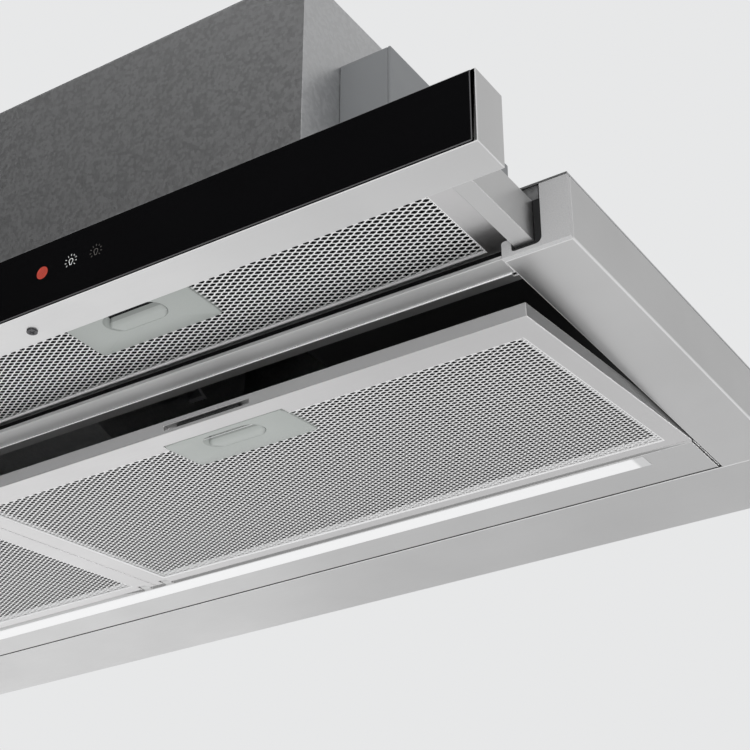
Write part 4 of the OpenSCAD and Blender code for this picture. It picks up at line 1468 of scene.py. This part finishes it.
@dataclass
class GreaseFilter:
    """One grease filter: pressed frame, layers of expanded metal, handle and latch."""

    hood: Hood
    place: Place
    side: Side
    frame_radius: float = 0.42
    frame_facets: int = 3
    front_face_depth: float = 6.0
    pair_gap: float = 0.6
    thickness: float = 8.0
    mesh_inset: float = 0.7
    mesh_lap: float = 2.6
    sheet_inset: float = 0.3
    inner_rise: float = 1.7
    core_inset: Flat = (2.9, 1.6)
    core_radius: float = 0.3
    border_lap: float = 2.0
    border_rise: Flat = (0.8, 1.1)
    lip_profile: tuple[Flat, ...] = (
        (-0.3, 0.05), (0.0, 0.02), (0.35, 0.12), (0.7, 0.55), (0.75, 0.9)
    )

    @property
    def kind(self) -> FilterKind:
        """Sizes and finishes of its kind."""
        return self.place.value

    @property
    def name(self) -> str:
        """The filter's name as the nodes spell it."""
        return f"{self.place.name.lower()}_filter_{self.side.word}"

    @property
    def middle(self) -> float:
        """x of the filter's middle."""
        return (self.kind.inner_x + self.kind.outer_x) / 2

    @property
    def window(self) -> tuple[Flat, Flat]:
        """Limits in x and in y of the opening that the frame leaves for the mesh.

        Returns:
            The limits in x and those in y, in mm.
        """
        kind = self.kind
        return (
            (kind.inner_x + kind.side_rim, kind.outer_x - kind.side_rim),
            (kind.front_y + kind.front_rim, kind.rear_y - kind.rear_rim),
        )

    def spot(self, x: float, y: float, z: float) -> Vector:
        """A point of the closed filter as a frame point of this filter where it hangs.

        Args:
            x: distance from the hood's middle, in mm.
            y: distance behind the housing's front, in mm.
            z: height over the housing's underside, in mm.

        Returns:
            The point in metres.
        """
        turn = math.radians(self.kind.open_degrees)
        y0, z0 = self.kind.pivot
        dy, dz = y - y0, z - z0
        return at(
            self.side.value * x,
            y0 + dy * math.cos(turn) - dz * math.sin(turn),
            z0 + dy * math.sin(turn) + dz * math.cos(turn),
        )

    def on_front(self, middle: Vector, normal: Vector) -> bool:
        """Whether a face of the frame is its front."""
        return normal.y < -STRAIGHT and middle.y < self.kind.front_y + self.front_face_depth

    def on_outer_side(self, middle: Vector, normal: Vector) -> bool:
        """Whether a face of the frame is its side that looks at the housing's side."""
        return abs(middle.x) > self.kind.outer_x - FACE_LEEWAY and abs(normal.x) > STRAIGHT

    def toward_pair(self, point: Vector) -> Vector:
        """Closes most of the gap between the two filters of a pair.

        Args:
            point: a corner of the frame.

        Returns:
            Where it goes.
        """
        moved = point.copy()
        if abs(point.x) < self.kind.inner_x + CORNER_LEEWAY:
            moved.x = math.copysign(self.pair_gap / 2, point.x)
        return moved

    def dress(self) -> None:
        """Builds the mesh layers and finishes the frame, the handle and the latch."""
        self.frame()
        handle = FilterHandle(self)
        handle.dress()
        self.layers(handle)
        self.inner_lip()

    def frame(self) -> None:
        """Rounds the pressed frame and gives its front and outer side faces painted shade."""
        frame = self.hood.soften(
            f"{self.name}_frame",
            FILTER_ALUMINIUM,
            self.frame_radius,
            self.frame_facets,
            trim=self.toward_pair,
        )
        if self.kind.shaded_faces:
            # Painted shade on the front and outer side faces; the rounding keeps the frame's own
            # finish
            shade_where(frame, FRAME_FRONT_SHADE, self.on_front)
            shade_where(frame, FRAME_SIDE_SHADE, self.on_outer_side)
            frame.modifiers["rounding"].material = 0

    def layers(self, handle: "FilterHandle") -> None:
        """Two outer sheets, an inner sheet and a black core between them as painted shade.

        Args:
            handle: the filter's handle, which covers some of the cells.
        """
        kind, node = self.kind, f"{self.name}_mesh"
        xs, ys = ((low - self.mesh_lap, high + self.mesh_lap) for low, high in self.window)
        bottom = kind.underside + self.mesh_inset
        top = kind.underside + self.thickness - self.mesh_inset
        shifted = self.middle + kind.lattice.pitch * kind.inner_shift
        for label, height, finish, stands_for, middle in (
            ("lower", bottom + self.sheet_inset, kind.mesh, (node,), self.middle),
            ("inner", bottom + self.inner_rise, kind.inner_mesh, (), shifted),
            ("upper", top - self.sheet_inset, kind.mesh, (), self.middle),
        ):
            data = kind.lattice.sheet(xs, ys, height, handle.covers, middle, self.spot)
            piece = f"{node}_{label}"
            new_piece(piece, data, self.name, "filter_mesh", finish, stands_for)
        self.core(xs, ys, (bottom + self.core_inset[0], top - self.core_inset[1]))
        self.border(bottom)
        self.hood.done.add(node)

    def core(self, xs: Flat, ys: Flat, zs: Flat) -> None:
        """Black block in the middle of the pack, as painted shade for its dim inside.

        Args:
            xs: its limits in x, in mm.
            ys: its limits in y.
            zs: its limits in z.
        """
        work = bmesh.new()
        block(work, xs, ys, zs, self.spot)
        data = mesh_of(work, f"{self.name}_core")
        name = f"{self.name}_wadding"
        piece = new_piece(name, data, self.name, "filter_mesh", CORE_SHADE)
        round_edges(piece, self.core_radius)

    def border(self, bottom: float) -> None:
        """Folded flange of the frame that shows through the mesh along its sides and rear,
        lightened as a painted highlight.

        Args:
            bottom: height of the mesh's lower face in mm.
        """
        (x0, x1), (y0, y1) = self.window
        lap, side = self.border_lap, self.kind.flange_side
        rear = y1 - self.kind.flange_rear
        work = bmesh.new()
        for xs, ys in (
            ((x0 - lap, x0 + side), (y0, rear)),
            ((x1 - side, x1 + lap), (y0, rear)),
            ((x0 - lap, x1 + lap), (rear, y1 + lap)),
        ):
            block(work, xs, ys, [bottom + rise for rise in self.border_rise], self.spot)
        name = f"{self.name}_border"
        new_piece(name, mesh_of(work, name), self.name, "filter_frame", BORDER_HIGHLIGHT)

    def inner_lip(self) -> None:
        """Folded lip round the opening, which slopes from the frame's face to the mesh, lightened
        as a painted highlight.
        """
        (x0, x1), (y0, y1) = self.window
        work = bmesh.new()
        rings = []
        for inset, rise in self.lip_profile:
            low_x, high_x, low_y, high_y = x0 + inset, x1 - inset, y0 + inset, y1 - inset
            outline = ((low_x, low_y), (high_x, low_y), (high_x, high_y), (low_x, high_y))
            z = self.kind.underside + rise
            rings.append([work.verts.new(self.spot(x, y, z)) for x, y in outline])
        for outer, inner in zip(rings, rings[1:]):
            walls(work, outer, inner)
        name = f"{self.name}_lip"
        data = mesh_of(work, name)
        data.shade_smooth()
        new_piece(name, data, self.name, "filter_frame", BORDER_HIGHLIGHT)


@dataclass
class FilterHandle:
    """Handle of a filter: moulded plate with a finger recess, the latch's pad and tongue."""

    filter: GreaseFilter
    half_width: float = 42.0
    depth: float = 36.0
    cover_margin: float = 3.0
    corner_radius: float = 2.6
    sharp_degrees: float = 40.0
    # Rings of the plate from its top down and of the recess's mouth, as inset and height
    plate_profile: tuple[Flat, ...] = ((0.0, 7.6), (0.0, -0.05), (0.12, -0.28), (0.4, -0.4))
    mouth_profile: tuple[Flat, ...] = ((-0.6, -0.4), (-0.2, -0.3), (0.0, 0.05))
    recess_width: float = 40.5
    recess_depth: float = 17.1
    recess_setback: float = 4.2
    recess_height: float = 5.6
    recess_ends: float = 0.05
    ramp: float = 4.6
    roof_taper: float = 0.25
    roof_sharper: float = 0.3
    roof_inset: float = 0.4
    roof_rise: float = 0.7
    pad_setback: float = 4.2
    pad_rear_gap: float = 0.3
    pad_side_gap: float = 0.16
    pad_narrowing: float = 0.9
    pad_slope: float = 0.62
    pad_crowding: float = 0.9
    pad_rise: float = 0.35
    pad_wall: float = 0.9
    pad_lip: float = 0.35
    pad_lip_share: float = 0.1
    pad_end_leeway: float = 0.02
    pad_across: int = 16
    pad_along: int = 18
    # How far a part of the pad sinks, as a share of the recess, before it lies in shade
    pad_shades: Flat = (0.22, 0.6)
    tongue_setback: float = 1.6
    tongue_half_width: float = 22.0
    tongue_rear: float = 3.6
    tongue_rise: Flat = (2.4, 4.6)
    web_half_width: float = 13.0
    web_lap: Flat = (4.4, 0.6)
    web_rise: Flat = (4.3, 6.4)
    tongue_radius: float = 0.2

    @property
    def hood(self) -> Hood:
        """The hood that the filter belongs to."""
        return self.filter.hood

    @property
    def name(self) -> str:
        """The filter's name, which starts those of the handle's pieces."""
        return self.filter.name

    @property
    def front(self) -> float:
        """y of the plate's front."""
        return self.filter.kind.front_y + self.filter.kind.handle_setback

    @property
    def recess(self) -> RoundRect:
        """Outline of the finger recess in the handle plate.

        Returns:
            The outline.
        """
        front = self.front + self.recess_setback
        half, middle = self.recess_width / 2, self.filter.middle
        return RoundRect(
            (middle - half, middle + half),
            (front, front + self.recess_depth),
            self.recess_depth / 2 - self.recess_ends,
        )

    def covers(self, x: float, y: float) -> bool:
        """Whether a cell of the mesh lies well under the plate.

        Args:
            x: the cell's distance from the hood's middle, in mm.
            y: its distance behind the housing's front, in mm.

        Returns:
            True if it does.
        """
        return (
            abs(x - self.filter.middle) < self.half_width - self.cover_margin
            and y < self.front + self.depth - self.cover_margin
        )

    def dress(self) -> None:
        """Builds the plate, the pad in its recess and the tongue."""
        self.plate()
        self.latch_pad()
        self.latch_tongue()

    def plate(self) -> None:
        """Moulded plate with a finger recess whose ends slope in."""
        middle, z, recess = self.filter.middle, self.filter.kind.underside, self.recess
        plate = RoundRect(
            (middle - self.half_width, middle + self.half_width),
            (self.front, self.front + self.depth),
            self.corner_radius,
        )
        roof = RoundRect(
            (recess.xs[0] + self.ramp, recess.xs[1] - self.ramp),
            (recess.ys[0] + self.roof_taper, recess.ys[1] - self.roof_taper),
            recess.radius - self.roof_sharper,
        )
        roof_z = z + self.recess_height
        rings = [(plate.inset(inset), z + rise) for inset, rise in self.plate_profile]
        rings += [(recess.inset(inset), z + rise) for inset, rise in self.mouth_profile]
        rings += [(roof, roof_z), (roof.inset(self.roof_inset), roof_z + self.roof_rise)]
        eye = (middle, (recess.ys[0] + recess.ys[1]) / 2)
        aims = [(x, y) for x in plate.xs for y in plate.ys]
        work = bmesh.new()
        ringed_solid(work, rings, eye, self.filter.spot, aims)
        name, node = f"{self.name}_handle_plate", f"{self.name}_handle"
        data = mesh_of(work, name)
        new_piece(name, data, self.name, "handle_plastic", HANDLE_PLASTIC, (node,))
        smooth(data, self.sharp_degrees)
        self.hood.done.add(node)

    def latch_pad(self) -> None:
        """Finger pad: flush at its rear, sloping in towards the front, with round ends."""
        recess, middle = self.recess, self.filter.middle
        start, end = recess.ys[0] + self.pad_setback, recess.ys[1] - self.pad_rear_gap
        mid_y = (recess.ys[0] + recess.ys[1]) / 2
        work = bmesh.new()
        rows, depths = [], []
        for j in range(self.pad_along + 1):
            share = math.sin(j / self.pad_along * math.pi / 2) ** self.pad_crowding
            sunk = 0.5 + 0.5 * math.cos(math.pi * min(1.0, share / self.pad_slope))
            y = start + (end - start) * share
            off = min(abs(y - mid_y), recess.radius - self.pad_end_leeway)
            half = recess.xs[1] - middle - recess.radius + math.sqrt(recess.radius**2 - off**2)
            half -= self.pad_side_gap + self.ramp * sunk + self.pad_narrowing * (1 - share)
            lip = self.pad_lip * max(0.0, 1 - (1 - share) / self.pad_lip_share)
            z = self.filter.kind.underside + self.pad_rise + self.recess_height * sunk - lip
            depths.append(sunk)
            xs = [middle + half * (2 * i / self.pad_across - 1) for i in range(self.pad_across + 1)]
            rows.append([work.verts.new(self.filter.spot(x, y, z)) for x in xs])
        for near, far, depth in zip(rows, rows[1:], depths[1:]):
            tone = sum(depth > limit for limit in self.pad_shades)
            for i in range(self.pad_across):
                work.faces.new((near[i], near[i + 1], far[i + 1], far[i])).material_index = tone
        name, node = f"{self.name}_latch_pad", f"{self.name}_latch"
        data, body = mesh_of(work, name), self.hood.body(node)
        piece = new_piece(name, data, body, "handle_plastic", LATCH_PLASTIC, (node,))
        for shaded in (LATCH_HALF_SHADE, LATCH_SHADE):
            add_material(piece, shaded)
        wall = piece.modifiers.new("wall", "SOLIDIFY")
        wall.thickness = self.pad_wall * MM
        wall.offset = 0.0
        data.shade_smooth()
        self.hood.done.add(node)

    def latch_tongue(self) -> None:
        """Dark tongue of the latch, drawn back into the slot, and its web to the pad."""
        mouth, kind = self.recess.ys[0], self.filter.kind
        tongue_ys = (kind.front_y + self.tongue_setback, mouth - self.tongue_rear)
        web_ys = (mouth - self.web_lap[0], mouth + self.pad_setback + self.web_lap[1])
        work = bmesh.new()
        for half, ys, rises in (
            (self.tongue_half_width, tongue_ys, self.tongue_rise),
            (self.web_half_width, web_ys, self.web_rise),
        ):
            xs = (self.filter.middle - half, self.filter.middle + half)
            block(work, xs, ys, [kind.underside + rise for rise in rises], self.filter.spot)
        name, body = f"{self.name}_latch_tongue", self.hood.body(f"{self.name}_latch")
        piece = new_piece(name, mesh_of(work, name), body, "handle_plastic", BLACK_PLASTIC)
        round_edges(piece, self.tongue_radius)


@dataclass
class Filters:
    """The two wide and the two narrow filters."""

    hood: Hood

    def dress(self) -> None:
        """Dresses all four."""
        for side in Side:
            for place in Place:
                GreaseFilter(self.hood, place, side).dress()


# ---------------------------------------------------------------- camera, light and floor


def stage_sheet(name: str, outline: Iterable[Vector], finish: Finish) -> bpy.types.Object:
    """Stages a flat sheet that is no part of the hood.

    Args:
        name: the sheet's name.
        outline: its corners in metres.
        finish: its finish.

    Returns:
        The sheet.
    """
    work = bmesh.new()
    work.faces.new([work.verts.new(corner) for corner in outline])
    sheet = bpy.data.objects.new(name, mesh_of(work, name))
    bpy.context.scene.collection.objects.link(sheet)
    clothe(sheet, finish)
    sheet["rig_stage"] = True
    return sheet


@dataclass(frozen=True)
class Lamp:
    """A soft square lamp: where it stands and aims, its side in metres, its power in watts."""

    name: str
    place: Point
    aim: Point
    size: float
    power: float

    def put_up(self) -> None:
        """Adds the lamp to the scene, unseen by the camera."""
        data = bpy.data.lights.new(self.name, "AREA")
        data.size = self.size
        data.energy = self.power
        lamp = bpy.data.objects.new(self.name, data)
        bpy.context.scene.collection.objects.link(lamp)
        lamp.visible_camera = False
        lamp.location = self.place
        lamp.rotation_mode = "QUATERNION"
        lamp.rotation_quaternion = (Vector(self.aim) - Vector(self.place)).to_track_quat("-Z", "Y")


@dataclass
class Studio:
    """Camera below the hood's right-hand corner, soft lamps, pale floor and surroundings."""

    eye: Point = (748.64, -633.86, -473.92)
    turn: float = -0.5779
    tilt: float = 0.5178
    focal_length: float = 82.74
    sensor: float = 36.0
    clip: Flat = (0.01, 80.0)
    floor_depth: float = 2750.0
    floor_reach: float = 30000.0
    # The dark card in metres: its middle, and its half width and half height with their directions
    card_middle: Point = (-1.3, -2.3, 0.3)
    card_across: tuple[Point, float] = ((0.84, -0.54, 0.0), 2.4)
    card_up: tuple[Point, float] = ((0.12, 0.19, 0.97), 2.5)
    backdrop: Colour = (0.80, 0.805, 0.81)
    surround: Colour = (1.0, 1.0, 1.003)
    low_level: float = 0.62
    high_level: float = 0.56
    high_from: float = 0.45
    lamps: tuple[Lamp, ...] = (
        Lamp("lamp_under_left", (-3.3, 2.2, -1.9), (0.0, 0.0, 0.0), 3.4, 13.0),
        Lamp("lamp_under_right", (1.25, 1.9, -1.15), (0.2, 0.0, 0.0), 0.5, 5.0),
        Lamp("lamp_front", (0.5, -1.9, -1.8), (0.2, -0.1, 0.0), 2.6, 19.0),
        Lamp("lamp_above", (-0.6, 0.2, 2.4), (0.0, 0.0, 0.0), 2.0, 14.0),
    )

    def camera(self) -> None:
        """Puts up the camera, level and unshifted, looking up at the right-hand corner."""
        data = bpy.data.cameras.new("camera")
        data.sensor_width = self.sensor
        data.lens = self.focal_length
        data.clip_start, data.clip_end = self.clip
        camera = bpy.data.objects.new("camera", data)
        bpy.context.scene.collection.objects.link(camera)
        flat = math.cos(self.tilt)
        forward = Vector((
            math.sin(self.turn) * flat, math.cos(self.turn) * flat, math.sin(self.tilt)
        ))
        camera.rotation_mode = "QUATERNION"
        camera.rotation_quaternion = forward.to_track_quat("-Z", "Y")
        camera.location = at(*self.eye)
        bpy.context.scene.camera = camera

    def floor(self) -> None:
        """Lays a wide pale floor far below the hood."""
        low, high = -self.floor_reach, self.floor_reach
        outline = ((low, low), (high, low), (high, high), (low, high))
        stage_sheet("floor", [at(x, y, -self.floor_depth) for x, y in outline], FLOOR_PALE)

    def dark_card(self) -> None:
        """Hangs a dark card in front, seen by gloss alone, that keeps the glass black."""
        across, up = (Vector(way) * half for way, half in (self.card_across, self.card_up))
        middle = Vector(self.card_middle)
        shares = ((-1, -1), (1, -1), (1, 1), (-1, 1))
        outline = [middle + across * i + up * j for i, j in shares]
        card = stage_sheet("dark_card", outline, CARD_BLACK)
        card.visible_camera = False
        card.visible_diffuse = False
        card.visible_shadow = False

    def surroundings(self) -> None:
        """World light by height, with a plain tone where the camera looks straight at it."""
        world = bpy.data.worlds.new("surroundings")
        bpy.context.scene.world = world
        world.use_nodes = True
        nodes = NodeHand(world.node_tree)
        light = nodes.add("ShaderNodeBackground", Color=(*self.surround, 1))
        seen = nodes.add("ShaderNodeBackground", Color=(*self.backdrop, 1))
        level = nodes.add(
            "ShaderNodeMapRange",
            From_Min=0.0,
            From_Max=self.high_from,
            To_Min=self.low_level,
            To_Max=self.high_level,
        )
        axes = nodes.add("ShaderNodeSeparateXYZ")
        mix = nodes.add("ShaderNodeMixShader")
        nodes.link(nodes.add("ShaderNodeTexCoord"), "Generated", axes, "Vector")
        nodes.link(axes, "Z", level, "Value")
        nodes.link(level, "Result", light, "Strength")
        nodes.link(nodes.add("ShaderNodeLightPath"), "Is Camera Ray", mix, "Fac")
        nodes.link(light, "Background", mix, 1)
        nodes.link(seen, "Background", mix, 2)
        nodes.link(mix, "Shader", nodes.add("ShaderNodeOutputWorld"), "Surface")

    def build(self) -> None:
        """Puts up the camera, the floor, the lamps and the world."""
        self.camera()
        self.floor()
        self.surroundings()
        for lamp in self.lamps:
            lamp.put_up()
        self.dark_card()
        bpy.context.scene.view_settings.view_transform = "Standard"


def corners(bounds: Sequence[Vector]) -> list[list[float]]:
    """Lowest and highest corner as plain lists of numbers."""
    return [[float(v) for v in corner] for corner in bounds]


def main() -> None:
    """Builds the studio and every sub-assembly in order."""
    logging.basicConfig(level=logging.INFO, format="%(message)s")
    hood = Hood(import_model())
    cad_box = corners(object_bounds())
    Studio().build()
    for part in (Housing, LampStrip, MotorUnit, Electrics, Carriage, Fascia, Filters):
        part(hood).dress()
        LOG.info("dressed %s", part.__name__)
    missed = sorted(set(hood.frame["nodes"]) - hood.done)
    if missed:
        LOG.warning("no finish yet for %s", missed)
    {"cad": cad_box, "visual": corners(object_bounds())}


if __name__ == "__main__":
    main()
